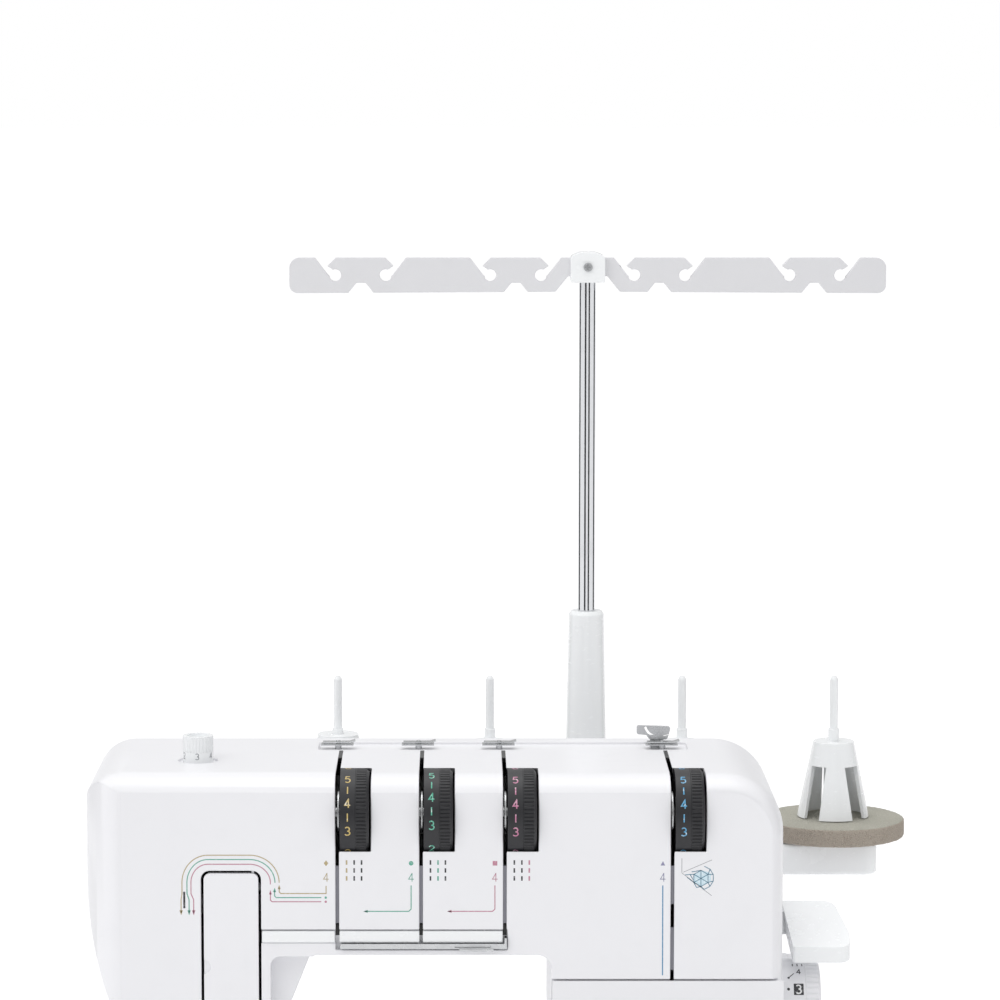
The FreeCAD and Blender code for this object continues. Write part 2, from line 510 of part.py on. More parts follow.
def inner_frame():
    """A cast plate that follows the arm, the column and the bed, with bearing blocks on its front."""
    corners = [(-132.0, DECK, 3.0), (100.0, DECK, 3.0), (100.0, 236.0, 8.0), (-188.0, 236.0, 8.0),
               (-188.0, 164.0, 8.0), (28.0, 164.0, 8.0), (28.0, 58.0, 8.0), (-132.0, 58.0, 5.0)]
    plate = plate_y(corners, FRAME_FRONT, FRAME_BACK)
    upper = [box(x - BEARING_HALF, x + BEARING_HALF, UPPER_SHAFT_Y - 8.0, FRAME_FRONT + 0.5,
                 UPPER_SHAFT_Z - 8.5, UPPER_SHAFT_Z + 8.5) for x in UPPER_BEARINGS]
    main = [box(x - BEARING_HALF, x + BEARING_HALF, MAIN_SHAFT_Y - 8.0, FRAME_FRONT + 0.5,
                MAIN_SHAFT_Z - 8.5, MAIN_SHAFT_Z + 8.5) for x in MAIN_BEARINGS]
    presser_guide = box(PRESSER_X - 7.0, PRESSER_X + 7.0, PRESSER_Y - 6.0, FRAME_FRONT + 0.5, 168.0, 178.0)
    needle_guides = [box(NEEDLE_X - 6.0, NEEDLE_X + 6.0, NEEDLE_Y - 6.0, FRAME_FRONT + 0.5, low, high)
                     for low, high in NEEDLE_GUIDES]
    looper_block = box(NEEDLE_X + 17.0, NEEDLE_X + 25.0, LOOPER_Y0 + 4.0, FRAME_FRONT + 0.5, 24.0, 38.0)
    looper_arm = box(NEEDLE_X - 6.0, NEEDLE_X + 25.0, LOOPER_Y0 + 4.0, LOOPER_Y0 + 12.0, 24.0, 36.0)
    frame = fuse(plate, looper_block, looper_arm, presser_guide, *(upper + main + needle_guides))
    holes = [rod_x(UPPER_SHAFT_Y, UPPER_SHAFT_Z, SHAFT_R + RUN, -120.0, 110.0),
             rod_x(MAIN_SHAFT_Y, MAIN_SHAFT_Z, SHAFT_R + RUN, -125.0, 110.0),
             rod_z(PRESSER_X, PRESSER_Y, PRESSER_BAR_R + RUN, 160.0, 182.0),
             rod_z(NEEDLE_X, NEEDLE_Y, NEEDLE_BAR_R + RUN, 158.0, 230.0),
             rod_y(NEEDLE_X, LOOPER_PIVOT_Z, LOOPER_PIN_R + RUN, LOOPER_Y0, LOOPER_Y0 + 14.0)]
    return frame.cut(Part.makeCompound(holes))


NEEDLE_BAR_R = 3.6
PRESSER_BAR_R = 3.4
LOOPER_PIVOT_Z = 30.0
LOOPER_PIN_R = 2.5
LOOPER_Y0, LOOPER_THICK = -63.4, 2.0
CRANK_THROW = 13.0
CRANK_X = -131.0


def main_shaft():
    return rod_x(MAIN_SHAFT_Y, MAIN_SHAFT_Z, SHAFT_R, -126.0, BODY_RIGHT + 30.0)


def upper_shaft():
    return rod_x(UPPER_SHAFT_Y, UPPER_SHAFT_Z, SHAFT_R, CRANK_X, 96.0)


def ring_x(y, z, outer, inner, x0, x1):
    return rod_x(y, z, outer, x0, x1).cut(rod_x(y, z, inner, x0 - 1.0, x1 + 1.0))


def handwheel():
    """The handwheel: a ribbed rim with a dished face and a hub on the main shaft."""
    x0, x1 = BODY_RIGHT + 2.5, BODY_RIGHT + 29.0
    wheel = rod_x(MAIN_SHAFT_Y, MAIN_SHAFT_Z, WHEEL_R, x0, x1)
    wheel = wheel.makeFillet(4.0, [edge for edge in wheel.Edges if abs(edge.BoundBox.XMax - x1) < 0.01
                                   and edge.BoundBox.XLength < 0.01])
    dish = Part.makeCone(WHEEL_R - 6.0, WHEEL_R - 13.0, 5.0, Vector(x1 + 0.01, MAIN_SHAFT_Y, MAIN_SHAFT_Z),
                         Vector(-1, 0, 0))
    flutes = []
    for k in range(24):
        angle = 2 * math.pi * k / 24
        flutes.append(rod_x(MAIN_SHAFT_Y + (WHEEL_R + 1.2) * math.cos(angle),
                            MAIN_SHAFT_Z + (WHEEL_R + 1.2) * math.sin(angle), 2.6, x0 + 8.0, x1 + 1.0))
    bore = rod_x(MAIN_SHAFT_Y, MAIN_SHAFT_Z, SHAFT_R, x0 - 1.0, BODY_RIGHT + 30.0)
    return wheel.cut(dish).cut(Part.makeCompound(flutes)).cut(bore)


def shaft_pulleys():
    """Two pulleys on the main shaft: one for the timing belt and one that the motor belt drives."""
    timing = ring_x(MAIN_SHAFT_Y, MAIN_SHAFT_Z, TIMING_R, SHAFT_R, TIMING_X - 5.0, TIMING_X + 5.0)
    drive = ring_x(MAIN_SHAFT_Y, MAIN_SHAFT_Z, DRIVE_R, SHAFT_R, MOTOR_BELT_X - 4.0, MOTOR_BELT_X + 4.0)
    return group([timing, drive])


def upper_pulley():
    return ring_x(UPPER_SHAFT_Y, UPPER_SHAFT_Z, TIMING_R, SHAFT_R, TIMING_X - 5.0, TIMING_X + 5.0)


def needle_crank():
    disc = rod_x(UPPER_SHAFT_Y, UPPER_SHAFT_Z, 17.0, CRANK_X - 5.0, CRANK_X)
    pin = rod_x(UPPER_SHAFT_Y, UPPER_SHAFT_Z + CRANK_THROW, 2.5, CRANK_X - 9.5, CRANK_X - 5.0)
    return fuse(disc, pin)


def motor_pulley():
    pulley = rod_x(MOTOR_Y, MOTOR_Z, MOTOR_PULLEY_R, MOTOR_BELT_X - 4.0, MOTOR_BELT_X + 4.0)
    shaft = rod_x(MOTOR_Y, MOTOR_Z, 2.5, MOTOR_END - 8.0, MOTOR_BELT_X)
    return fuse(pulley, shaft)


MOTOR_START, MOTOR_END = 34.0, 88.0


def motor():
    can = rod_x(MOTOR_Y, MOTOR_Z, MOTOR_R, MOTOR_START, MOTOR_END)
    foot = box(MOTOR_START + 8.0, MOTOR_END - 8.0, FRAME_BACK, MOTOR_Y, MOTOR_Z - 14.0, MOTOR_Z + 14.0)
    return fuse(can, foot).cut(rod_x(MOTOR_Y, MOTOR_Z, 2.5 + RUN, MOTOR_END - 9.0, MOTOR_END + 1.0))


def belt_loop(first, second, x0, x1, slack):
    """An open belt round two pulleys, each given as (y, z, radius), clear of them by slack."""
    def loop(extra):
        (y1, z1, r1), (y2, z2, r2) = first, second
        r1, r2 = r1 + extra, r2 + extra
        dy, dz = y2 - y1, z2 - z1
        span = math.hypot(dy, dz)
        ahead = math.atan2(dz, dy)
        lean = math.acos((r1 - r2) / span)
        def at(y, z, r, angle):
            return Vector(x0, y + r * math.cos(angle), z + r * math.sin(angle))
        left1, right1 = at(y1, z1, r1, ahead + lean), at(y1, z1, r1, ahead - lean)
        left2, right2 = at(y2, z2, r2, ahead + lean), at(y2, z2, r2, ahead - lean)
        edges = [Part.LineSegment(left1, left2).toShape(),
                 Part.Arc(left2, at(y2, z2, r2, ahead), right2).toShape(),
                 Part.LineSegment(right2, right1).toShape(),
                 Part.Arc(right1, at(y1, z1, r1, ahead + math.pi), left1).toShape()]
        return Part.Face(Part.Wire(edges)).extrude(Vector(x1 - x0, 0, 0))
    return loop(slack + BELT).cut(loop(slack))


def drive_belts():
    slack = 0.05
    timing = belt_loop((MAIN_SHAFT_Y, MAIN_SHAFT_Z, TIMING_R), (UPPER_SHAFT_Y, UPPER_SHAFT_Z, TIMING_R),
                       TIMING_X - 4.0, TIMING_X + 4.0, slack)
    motor_belt = belt_loop((MAIN_SHAFT_Y, MAIN_SHAFT_Z, DRIVE_R), (MOTOR_Y, MOTOR_Z, MOTOR_PULLEY_R),
                           MOTOR_BELT_X - 3.0, MOTOR_BELT_X + 3.0, slack)
    return group([timing, motor_belt])


# ---------------------------------------------------------------- needles, presser and looper
CLAMP_LOW, CLAMP_HIGH = 99.0, 110.0
NEEDLE_TIP = BED_TOP + 10.0


def needle_bar():
    return rod_z(NEEDLE_X, NEEDLE_Y, NEEDLE_BAR_R, CLAMP_HIGH - 6.0, 232.0)


def needle_clamp():
    block = box(NEEDLE_X - 6.0, NEEDLE_X + 6.0, NEEDLE_Y - 4.6, NEEDLE_Y + 4.6, CLAMP_LOW, CLAMP_HIGH)
    screw = rod_y(NEEDLE_X, CLAMP_LOW + 4.0, 1.8, NEEDLE_Y - 9.0, NEEDLE_Y - 4.6)
    knob = rod_y(NEEDLE_X, CLAMP_LOW + 4.0, 2.8, NEEDLE_Y - 10.5, NEEDLE_Y - 7.5)
    block = fuse(block, screw, knob)
    holes = [rod_z(NEEDLE_X, NEEDLE_Y, NEEDLE_BAR_R, CLAMP_HIGH - 6.0, CLAMP_HIGH + 1.0)]
    holes += [rod_z(x, NEEDLE_Y, 1.0, CLAMP_LOW - 1.0, CLAMP_LOW + 4.5) for x in needle_places()]
    return block.cut(Part.makeCompound(holes))


def needle_places():
    return [NEEDLE_X + k * NEEDLE_PITCH for k in (-1, 0, 1)]


def needles():
    solids = []
    for x in needle_places():
        shank = rod_z(x, NEEDLE_Y, 1.0, CLAMP_LOW - 2.0, CLAMP_LOW + 4.5)
        blade = rod_z(x, NEEDLE_Y, 0.55, NEEDLE_TIP + 5.0, CLAMP_LOW - 1.0)
        point = Part.makeCone(0.08, 0.55, 5.0, Vector(x, NEEDLE_Y, NEEDLE_TIP))
        solids.append(fuse(shank, blade, point))
    return group(solids)


def needle_link():
    """The link from the needle bar up to the crank pin, opened there: it stops short of the pin."""
    pin_z = UPPER_SHAFT_Z + CRANK_THROW
    x0, x1 = CRANK_X - 12.4, CRANK_X - 9.9
    link = box(x0, x1, NEEDLE_Y - 3.0, NEEDLE_Y + 3.0, pin_z, 211.0)
    eye = rod_x(NEEDLE_Y, pin_z, 4.5, x0, x1)
    collar = rod_z(NEEDLE_X, NEEDLE_Y, 6.0, 206.0, 212.0)
    collar = collar.cut(rod_z(NEEDLE_X, NEEDLE_Y, NEEDLE_BAR_R, 200.0, 215.0))
    arm = box(NEEDLE_X + 4.2, x1, NEEDLE_Y - 2.5, NEEDLE_Y + 2.5, 206.0, 211.0)
    return fuse(link, eye, arm, collar)


def presser_bar():
    bar = rod_z(PRESSER_X, PRESSER_Y, PRESSER_BAR_R, 96.0, 228.0)
    return fuse(bar, rod_z(PRESSER_X, PRESSER_Y, 6.0, 186.0, 190.0))


SPRING_LOW, SPRING_HIGH = 190.0, 226.0


def presser_spring():
    """The compression spring as a sleeve of its coils' section."""
    return rod_z(PRESSER_X, PRESSER_Y, 5.9, SPRING_LOW, SPRING_HIGH).cut(
        rod_z(PRESSER_X, PRESSER_Y, 4.4, SPRING_LOW - 1.0, SPRING_HIGH + 1.0))


def presser_foot():
    """The foot: a sole with toes, an ankle and a clamp on the presser bar."""
    sole_low, sole_high = BED_TOP + 0.3, BED_TOP + 3.0
    sole = plate_z([(-164.0, -84.0, 3.0), (-136.0, -84.0, 3.0), (-136.0, -46.0, 3.0), (-164.0, -46.0, 3.0)],
                   sole_low, sole_high)
    slot = box(NEEDLE_X - 5.0, NEEDLE_X + 5.0, NEEDLE_Y - 3.0, NEEDLE_Y + 3.0, 60.0, 75.0)
    toe_gap = box(NEEDLE_X - 1.0, NEEDLE_X + 1.0, -90.0, NEEDLE_Y, 60.0, 75.0)
    ankle = box(PRESSER_X - 3.0, PRESSER_X + 3.0, PRESSER_Y - 3.4, PRESSER_Y + 3.4, sole_high - 0.5, 92.0)
    clamp = rod_z(PRESSER_X, PRESSER_Y, 5.6, 91.5, 104.0)
    screw = rod_x(PRESSER_Y, 98.0, 2.6, PRESSER_X - 11.0, PRESSER_X - 4.0)
    foot = fuse(sole, ankle, clamp, screw).cut(Part.makeCompound([slot, toe_gap]))
    return foot.cut(rod_z(PRESSER_X, PRESSER_Y, PRESSER_BAR_R, 96.0, 110.0))


def looper():
    """The curved looper blade on its rocker, which swings about a pin along Y."""
    y0, y1 = LOOPER_Y0, LOOPER_Y0 + LOOPER_THICK
    blade = plate_y([(-163.0, 50.0, 0.8), (-140.0, 49.0, 1.0), (-140.0, 52.5, 1.0), (-154.0, 52.5, 2.0)], y0, y1)
    post = plate_y([(NEEDLE_X - 4.0, 26.0, 3.0), (NEEDLE_X + 4.0, 26.0, 3.0), (NEEDLE_X + 8.0, 50.5, 1.5),
                    (NEEDLE_X + 1.0, 50.5, 1.0)], y0, y1)
    pin = rod_y(NEEDLE_X, LOOPER_PIVOT_Z, LOOPER_PIN_R, y0, LOOPER_Y0 + 13.0)
    return fuse(blade, post, pin)


# ---------------------------------------------------------------- thread tensions and guides
TENSION_BACK = -8.0           # the bracket plate stands this far left of the slit


def tension_brackets():
    """One bracket per dial: a plate on the frame and the spindle that the dial turns on."""
    solids = []
    for x in SLITS:
        plate = box(x + TENSION_BACK, x + TENSION_BACK + 3.0, DIAL_Y - 8.0, FRAME_FRONT, 216.0, 235.0)
        spindle = rod_x(DIAL_Y, DIAL_Z, 3.0, x + TENSION_BACK + 1.0, x + DIAL_OFFSET + DIAL_WIDTH - 2.0)
        solids.append(fuse(plate, spindle))
    return group(solids)


def tension_discs():
    solids = []
    for x in SLITS:
        for start in (x - 2.4, x - 0.2):
            solids.append(ring_x(DIAL_Y, DIAL_Z, 11.0, 3.0 + RUN, start, start + 1.0))
    return group(solids)


def tension_dial(x):
    """A thumb dial: a smooth numbered rim beside a finely ribbed one."""
    x0 = x + DIAL_OFFSET
    x1 = x0 + DIAL_WIDTH
    smooth = rod_x(DIAL_Y, DIAL_Z, DIAL_R, x0, x0 + DIAL_SMOOTH)
    ribbed = rod_x(DIAL_Y, DIAL_Z, DIAL_R - 0.1, x0 + DIAL_SMOOTH, x1 - 1.4)
    end = Part.makeCone(DIAL_R - 0.5, DIAL_R - 1.7, 1.4, Vector(x1 - 1.4, DIAL_Y, DIAL_Z), Vector(1, 0, 0))
    count = 72
    grooves = []
    for k in range(count):
        angle = 2 * math.pi * k / count
        centre = Vector(x0 + DIAL_SMOOTH + 0.5, DIAL_Y + DIAL_R * math.cos(angle), DIAL_Z + DIAL_R * math.sin(angle))
        groove = Part.makeBox(DIAL_WIDTH - DIAL_SMOOTH, 1.0, 1.0, centre + Vector(0, -0.5, -0.5))
        groove.rotate(centre, Vector(1, 0, 0), math.degrees(angle) + 45.0)
        grooves.append(groove)
    dial = fuse(smooth, ribbed, end).cut(Part.makeCompound(grooves))
    return dial.cut(rod_x(DIAL_Y, DIAL_Z, 3.0 + RUN, x0 - 1.0, x0 + DIAL_WIDTH - 1.5))


def ledge_strips():
    """Three rounded lips along the bottom of the arm, between the thread slits."""
    half = SLIT_WIDTH / 2
    spans = [(LEDGE_LEFT + 0.6, SLITS[0] - half - 0.4), (SLITS[0] + half + 0.2, SLITS[1] - half),
             (SLITS[1] + half, SLITS[2] - half - 0.2)]
    profile = [(BODY_FRONT - 1.6, LEDGE_LOW, 1.4), (BODY_FRONT + 4.0, LEDGE_LOW, 0.0),
               (BODY_FRONT + 4.0, LEDGE_HIGH, 0.0), (BODY_FRONT - 0.4, LEDGE_HIGH, 1.6)]
    return group([plate_x(profile, a, b) for a, b in spans])


def guide_plate():
    """The folded metal thread guide under the second and third lips, with a small wire clip."""
    left, right = SLITS[0] + 1.4, SLITS[2] + 1.0
    plate = box(left, right, BODY_FRONT - 2.4, BODY_FRONT + 4.0, 160.2, 162.8)
    upturn = box(right - 1.2, right, BODY_FRONT - 2.4, BODY_FRONT + 3.0, 160.2, 165.8)
    clip = box(-27.0, -9.5, BODY_FRONT - 3.6, BODY_FRONT + 2.0, 159.3, 160.3)
    slot = box(-29.0, -11.0, BODY_FRONT - 3.0, BODY_FRONT - 1.4, 160.9, 161.9)
    return fuse(plate, upturn, clip).cut(slot)


CLIP_SHIFT, CLIP_Y = -2.0, BODY_FRONT + 92.0


def clip_xs():
    return [x + CLIP_SHIFT for x in SLITS[:3]] + [SLITS[3] - 0.8]


def thread_clips():
    """Four flat spring clips on short posts in the trench along the top."""
    floor = BODY_TOP - TRENCH_DEPTH
    solids = []
    for x in clip_xs():
        post = rod_z(x, CLIP_Y, 1.7, floor, floor + 2.4)
        lower = box(x - 8.8, x + 8.0, CLIP_Y - 3.4, CLIP_Y + 3.4, floor + 2.2, floor + 2.8)
        upper = plate_y([(x - 8.0, floor + 3.3, 0.0), (x + 6.0, floor + 3.3, 0.0), (x + 9.0, floor + 4.3, 0.0),
                         (x + 8.8, floor + 4.8, 0.0), (x + 5.8, floor + 3.9, 0.0), (x - 8.0, floor + 3.9, 0.0)],
                        CLIP_Y - 2.8, CLIP_Y + 2.8)
        pin = rod_z(x, CLIP_Y, 1.2, floor + 2.6, floor + 4.4)
        solids.append(fuse(post, lower, upper, pin))
    return group(solids)


def guide_bracket():
    """The upright sheet-metal pretension guide beside the fourth clip."""
    x0, x1, y = 66.0, 84.0, CLIP_Y + 4.2
    floor = BODY_TOP - TRENCH_DEPTH
    sheet = plate_y([(x0, 252.4, 1.2), (x0 + 5.0, 252.0, 1.0), (x0 + 6.6, 249.8, 0.8), (x1 - 2.0, 249.6, 1.5),
                     (x1, 256.6, 1.5), (x0, 257.2, 1.2)], y, y + 1.2)
    sweep = [(x0 + 4.4, 256.3), (x0 + 5.2, 254.5), (x0 + 6.4, 252.9), (x0 + 8.5, 251.8), (x0 + 11.0, 251.3),
             (x0 + 14.0, 251.5), (x0 + 16.8, 252.2)]
    outline = [(a - 0.5, b - 0.35, 0.0) for a, b in sweep] + [(a + 0.5, b + 0.35, 0.0) for a, b in sweep[::-1]]
    window = plate_y(outline, y - 1.0, y + 2.0)
    leg = box(x0 + 7.0, x1 - 4.0, y, y + 1.2, floor, 252.0)
    toe = box(x0 + 7.0, x1 - 4.0, y, y + 4.0, floor, floor + 1.0)
    return fuse(sheet.cut(window), leg, toe)


# ---------------------------------------------------------------- knobs, dials and lever
def pressure_knob():
    knob = rod_z(PRESSER_X, PRESSER_Y, KNOB_R, BODY_TOP - 0.9, KNOB_TOP)
    cup = rod_z(PRESSER_X, PRESSER_Y, KNOB_R - 2.2, KNOB_TOP - 2.5, KNOB_TOP + 1.0)
    ribs = []
    for k in range(28):
        angle = 2 * math.pi * k / 28
        ribs.append(rod_z(PRESSER_X + (KNOB_R + 0.25) * math.cos(angle),
                          PRESSER_Y + (KNOB_R + 0.25) * math.sin(angle), 0.6, BODY_TOP + 5.0, KNOB_TOP + 1.0))
    stem = rod_z(PRESSER_X, PRESSER_Y, 6.5, SPRING_HIGH, BODY_TOP)
    stem_bore = rod_z(PRESSER_X, PRESSER_Y, 4.2, SPRING_HIGH - 1.0, 240.0)
    return fuse(knob, stem).cut(Part.makeCompound(ribs + [cup, stem_bore]))


def side_dial(y, z, radius, width, ribs):
    """A dial on the right-hand side: smooth numbered rim inside, ribbed rim outside, spindle behind."""
    x0 = BODY_RIGHT + 0.5
    smooth = rod_x(y, z, radius, x0, x0 + width * 0.62)
    outer = rod_x(y, z, radius - 0.4, x0 + width * 0.62, x0 + width - 1.5)
    end = Part.makeCone(radius - 0.4, radius - 1.9, 1.5, Vector(x0 + width - 1.5, y, z), Vector(1, 0, 0))
    grooves = []
    for k in range(ribs):
        angle = 2 * math.pi * k / ribs
        centre = Vector(x0 + width * 0.66, y + radius * math.cos(angle), z + radius * math.sin(angle))
        groove = Part.makeBox(width, 1.3, 1.3, centre + Vector(0, -0.65, -0.65))
        groove.rotate(centre, Vector(1, 0, 0), math.degrees(angle) + 45.0)
        grooves.append(groove)
    spindle = rod_x(y, z, SIDE_DIAL_STUB, BODY_RIGHT - 11.0, x0 + 1.0)
    return fuse(smooth, outer, end, spindle).cut(Part.makeCompound(grooves))


def stitch_dial():
    return side_dial(STITCH_Y, STITCH_Z, STITCH_R, 20.5, 44)


def feed_dial():
    return side_dial(FEED_Y, FEED_Z, FEED_R, 14.0, 34)


LEVER_X0 = BODY_RIGHT + 2.0
LEVER_HUB_R = 7.0


def lifter_lever():
    """The presser lifter: a broad sloping paddle, an arm back to its pivot and the pivot shaft."""
    slope = math.tan(math.radians(15.0))
    front, back = -73.0, -23.0
    top_front, thick = 155.1, 8.3
    def top(y):
        return top_front + (y - front) * slope
    left, right_front, right_back = BODY_RIGHT + 6.4, 172.2, 167.4
    plan = [(left, front, 1.5), (right_front, front, 6.0), (right_front + 0.4, front + 16.0, 14.0),
            (right_back, back, 8.0), (left - 2.0, back, 1.5)]
    paddle = plate_z(plan, 120.0, 190.0)
    side = plate_x([(front - 5.0, top(front - 5.0) - thick, 0.0), (back + 5.0, top(back + 5.0) - thick, 0.0),
                    (back + 5.0, top(back + 5.0), 0.0), (front - 5.0, top(front - 5.0), 0.0)], 130.0, 180.0)
    paddle = paddle.common(side)
    arm = plate_x([(back - 20.0, top(back - 20.0) - thick, 1.0), (LEVER_Y, LEVER_Z - LEVER_HUB_R, 1.0),
                   (LEVER_Y, LEVER_Z + LEVER_HUB_R, 1.0), (back - 12.0, top(back - 12.0), 1.0)],
                  LEVER_X0, LEVER_X0 + 7.0)
    hub = rod_x(LEVER_Y, LEVER_Z, LEVER_HUB_R, LEVER_X0, LEVER_X0 + 8.0)
    shaft = rod_x(LEVER_Y, LEVER_Z, 4.0, BODY_RIGHT - 14.0, LEVER_X0 + 1.0)
    return fuse(paddle, arm, hub, shaft)


def power_switch():
    """A rocker: part of a cylinder whose outer face is cut to a shallow V."""
    pivot_x = BODY_RIGHT - 9.0
    barrel = rod_y(pivot_x, SWITCH_Z, 12.0, SWITCH_Y - 7.6, SWITCH_Y + 7.6)
    body = barrel.common(box(pivot_x - 3.0, pivot_x + 20.0, SWITCH_Y - 8.0, SWITCH_Y + 8.0,
                             SWITCH_Z - 10.4, SWITCH_Z + 10.4))
    valley = plate_y([(pivot_x + 9.9, SWITCH_Z - 1.5, 0.0), (pivot_x + 16.0, SWITCH_Z - 1.5, 0.0),
                      (pivot_x + 16.0, SWITCH_Z + 14.0, 0.0), (pivot_x + 11.6, SWITCH_Z + 14.0, 0.0)],
                     SWITCH_Y - 9.0, SWITCH_Y + 9.0)
    return body.cut(valley)


def power_inlet():
    """The mains socket in the back, with a deep recess and three pins."""
    body = box(INLET_X - 11.0, INLET_X + 11.0, BODY_BACK - 14.0, BODY_BACK + 1.5, INLET_Z - 8.0, INLET_Z + 8.0)
    recess = plate_y(rectangle(INLET_X - 8.5, INLET_X + 8.5, INLET_Z - 5.5, INLET_Z + 5.5, 2.5),
                     BODY_BACK - 10.0, BODY_BACK + 2.0)
    pins = [rod_y(INLET_X + dx, INLET_Z, 0.9, BODY_BACK - 11.0, BODY_BACK - 2.0) for dx in (-7.0, 7.0)]
    return fuse(body.cut(recess), *pins)


LAMP = (-92.0, -70.0, -62.0, -44.0)


def sewing_lamp():
    x0, x1, y0, y1 = LAMP
    return plate_z(rectangle(x0, x1, y0, y1, 3.0), ARM_UNDERSIDE - 2.0, ARM_UNDERSIDE)


# ---------------------------------------------------------------- spool stand and thread tree
def pin_xs():
    return [STAND_X + offset for offset in PIN_OFFSETS]


POST_SPIGOT_R = 8.0
SOCKET_LOW = 90.0


def spool_stand():
    """The bar behind the arm, and the bracket that carries it on the back of the casing."""
    half = STAND_LENGTH / 2
    bar = plate_z(rectangle(STAND_X - half, STAND_X + half, STAND_Y - STAND_DEPTH / 2,
                            STAND_Y + STAND_DEPTH / 2, 8.0), STAND_LOW, STAND_HIGH)
    rims = [edge for edge in bar.Edges if abs(edge.BoundBox.ZMin - edge.BoundBox.ZMax) < 0.01]
    bar = bar.makeFillet(2.0, rims)
    bracket = box(STAND_X - 30.0, STAND_X + 30.0, BODY_BACK, STAND_Y - STAND_DEPTH / 2 + 4.0,
                  STAND_LOW + 1.5, STAND_HIGH - 3.0)
    flange = box(STAND_X - 34.0, STAND_X + 34.0, BODY_BACK, BODY_BACK + 4.0, STAND_LOW - 10.0, STAND_HIGH + 4.0)
    stand = fuse(bar, bracket, flange)
    holes = [rod_z(x, STAND_Y, PIN_FOOT_R, STAND_HIGH - 8.0, STAND_HIGH + 1.0) for x in pin_xs()]
    holes.append(rod_z(STAND_X, STAND_Y, POST_SPIGOT_R, STAND_LOW - 1.0, STAND_HIGH + 1.0))
    return stand.cut(Part.makeCompound(holes))


def spool_pins():
    solids = []
    for x in pin_xs():
        foot = rod_z(x, STAND_Y, PIN_FOOT_R, STAND_HIGH - 8.0, PIN_STEP)
        shaft = rod_z(x, STAND_Y, PIN_R, PIN_STEP - 1.0, PIN_TOP - 2.0)
        tip = Part.makeCone(PIN_R, 1.2, 2.0, Vector(x, STAND_Y, PIN_TOP - 2.0))
        solids.append(fuse(foot, shaft, tip))
    return group(solids)


def foam_pads():
    solids = []
    for x, extra in zip(pin_xs(), FOAM_EXTRA):
        pad = rod_z(x, STAND_Y, FOAM_R, STAND_HIGH, STAND_HIGH + FOAM_THICK + extra)
        solids.append(pad.cut(rod_z(x, STAND_Y, PIN_FOOT_R + 0.6, STAND_HIGH - 1.0, STAND_HIGH + 30.0)))
    return group(solids)


CONE_BORE = PIN_FOOT_R + 0.08
CONE_WALL = 2.2


def spool_cone(index):
    """A slotted spool cone that stands on its foam pad and lifts off its pin."""
    x = pin_xs()[index]
    base = STAND_HIGH + FOAM_THICK + FOAM_EXTRA[index] + SEAT
    shell = Part.makeCone(CONE_BASE_R, CONE_TOP_R, CONE_HEIGHT, Vector(x, STAND_Y, base))
    hollow = Part.makeCone(CONE_BASE_R - CONE_WALL, CONE_TOP_R - CONE_WALL, CONE_HEIGHT - 4.0,
                           Vector(x, STAND_Y, base))
    hollow = hollow.cut(rod_z(x, STAND_Y, 5.2, base - 1.0, base + CONE_HEIGHT))
    shell = shell.cut(hollow)
    slot_half = 4.9
    slots = []
    for angle in (90.0, 227.0, 313.0):
        slot = Part.makeBox(CONE_BASE_R, 2 * slot_half, 29.5, Vector(6.5, -slot_half, -1.0))
        slot.rotate(Vector(0, 0, 0), Vector(0, 0, 1), angle)
        slot.translate(Vector(x, STAND_Y, base))
        slots.append(slot)
    shell = shell.cut(Part.makeCompound(slots))
    return shell.cut(rod_z(x, STAND_Y, CONE_BORE, base - 1.0, base + CONE_HEIGHT + 1.0))


def tree_post():
    """The tapered post over the stand and the socket below it that the rod slides down into."""
    taper = Part.makeCone(11.9, 9.45, POST_TOP - 2.0 - STAND_HIGH, Vector(STAND_X, STAND_Y, STAND_HIGH))
    rim = Part.makeCone(9.45, 8.2, 2.0, Vector(STAND_X, STAND_Y, POST_TOP - 2.0))
    spigot = rod_z(STAND_X, STAND_Y, POST_SPIGOT_R, SOCKET_LOW, STAND_HIGH + 1.0)
    post = fuse(taper, rim, spigot)
    return post.cut(rod_z(STAND_X, STAND_Y, ROD_R + RUN, SOCKET_LOW + 3.0, POST_TOP + 1.0))


def tree_rod():
    return rod_z(STAND_X, STAND_Y, ROD_R, SOCKET_LOW + 5.0 + ROD_TRAVEL, HUB_LOW + 3.0)


def hook(centre, side):
    """One thread hook in the plate: a round eye and a slanted way in from the top edge."""
    eye_z, eye_r = 487.4, 3.25
    eye = rod_y(centre, eye_z, eye_r, STAND_Y - 5.0, STAND_Y + 5.0)
    way = [(centre - side * 3.2, eye_z - 0.6, 0.0), (centre - side * 0.6, eye_z + 2.6, 0.0),
           (centre - side * 4.2, eye_z + 5.0, 0.0), (centre + side * 0.4, TREE_HIGH + 0.1, 0.0),
           (centre + side * 0.4, TREE_HIGH + 2.0, 0.0), (centre - side * 11.0, TREE_HIGH + 2.0, 0.0),
           (centre - side * 11.0, TREE_HIGH + 0.1, 0.0)]
    if side > 0:
        way = way[::-1]
    wire = Part.makePolygon([Vector(a, STAND_Y - 5.0, b) for a, b, _ in way + way[:1]])
    return [eye, Part.Face(wire).extrude(Vector(0, 10.0, 0))]


def tree_hooks():
    """Hook centres, with the side of the hub that the eye's closed end faces."""
    outer, wide, near, inner = 136.3, 109.0, 52.6, 25.2
    left = [(-outer, 1), (-wide, -1), (-near, 1), (-inner, -1)]
    right = [(inner, 1), (near, -1), (wide, 1), (outer, -1)]
    return [(STAND_X + x, side) for x, side in left + right]


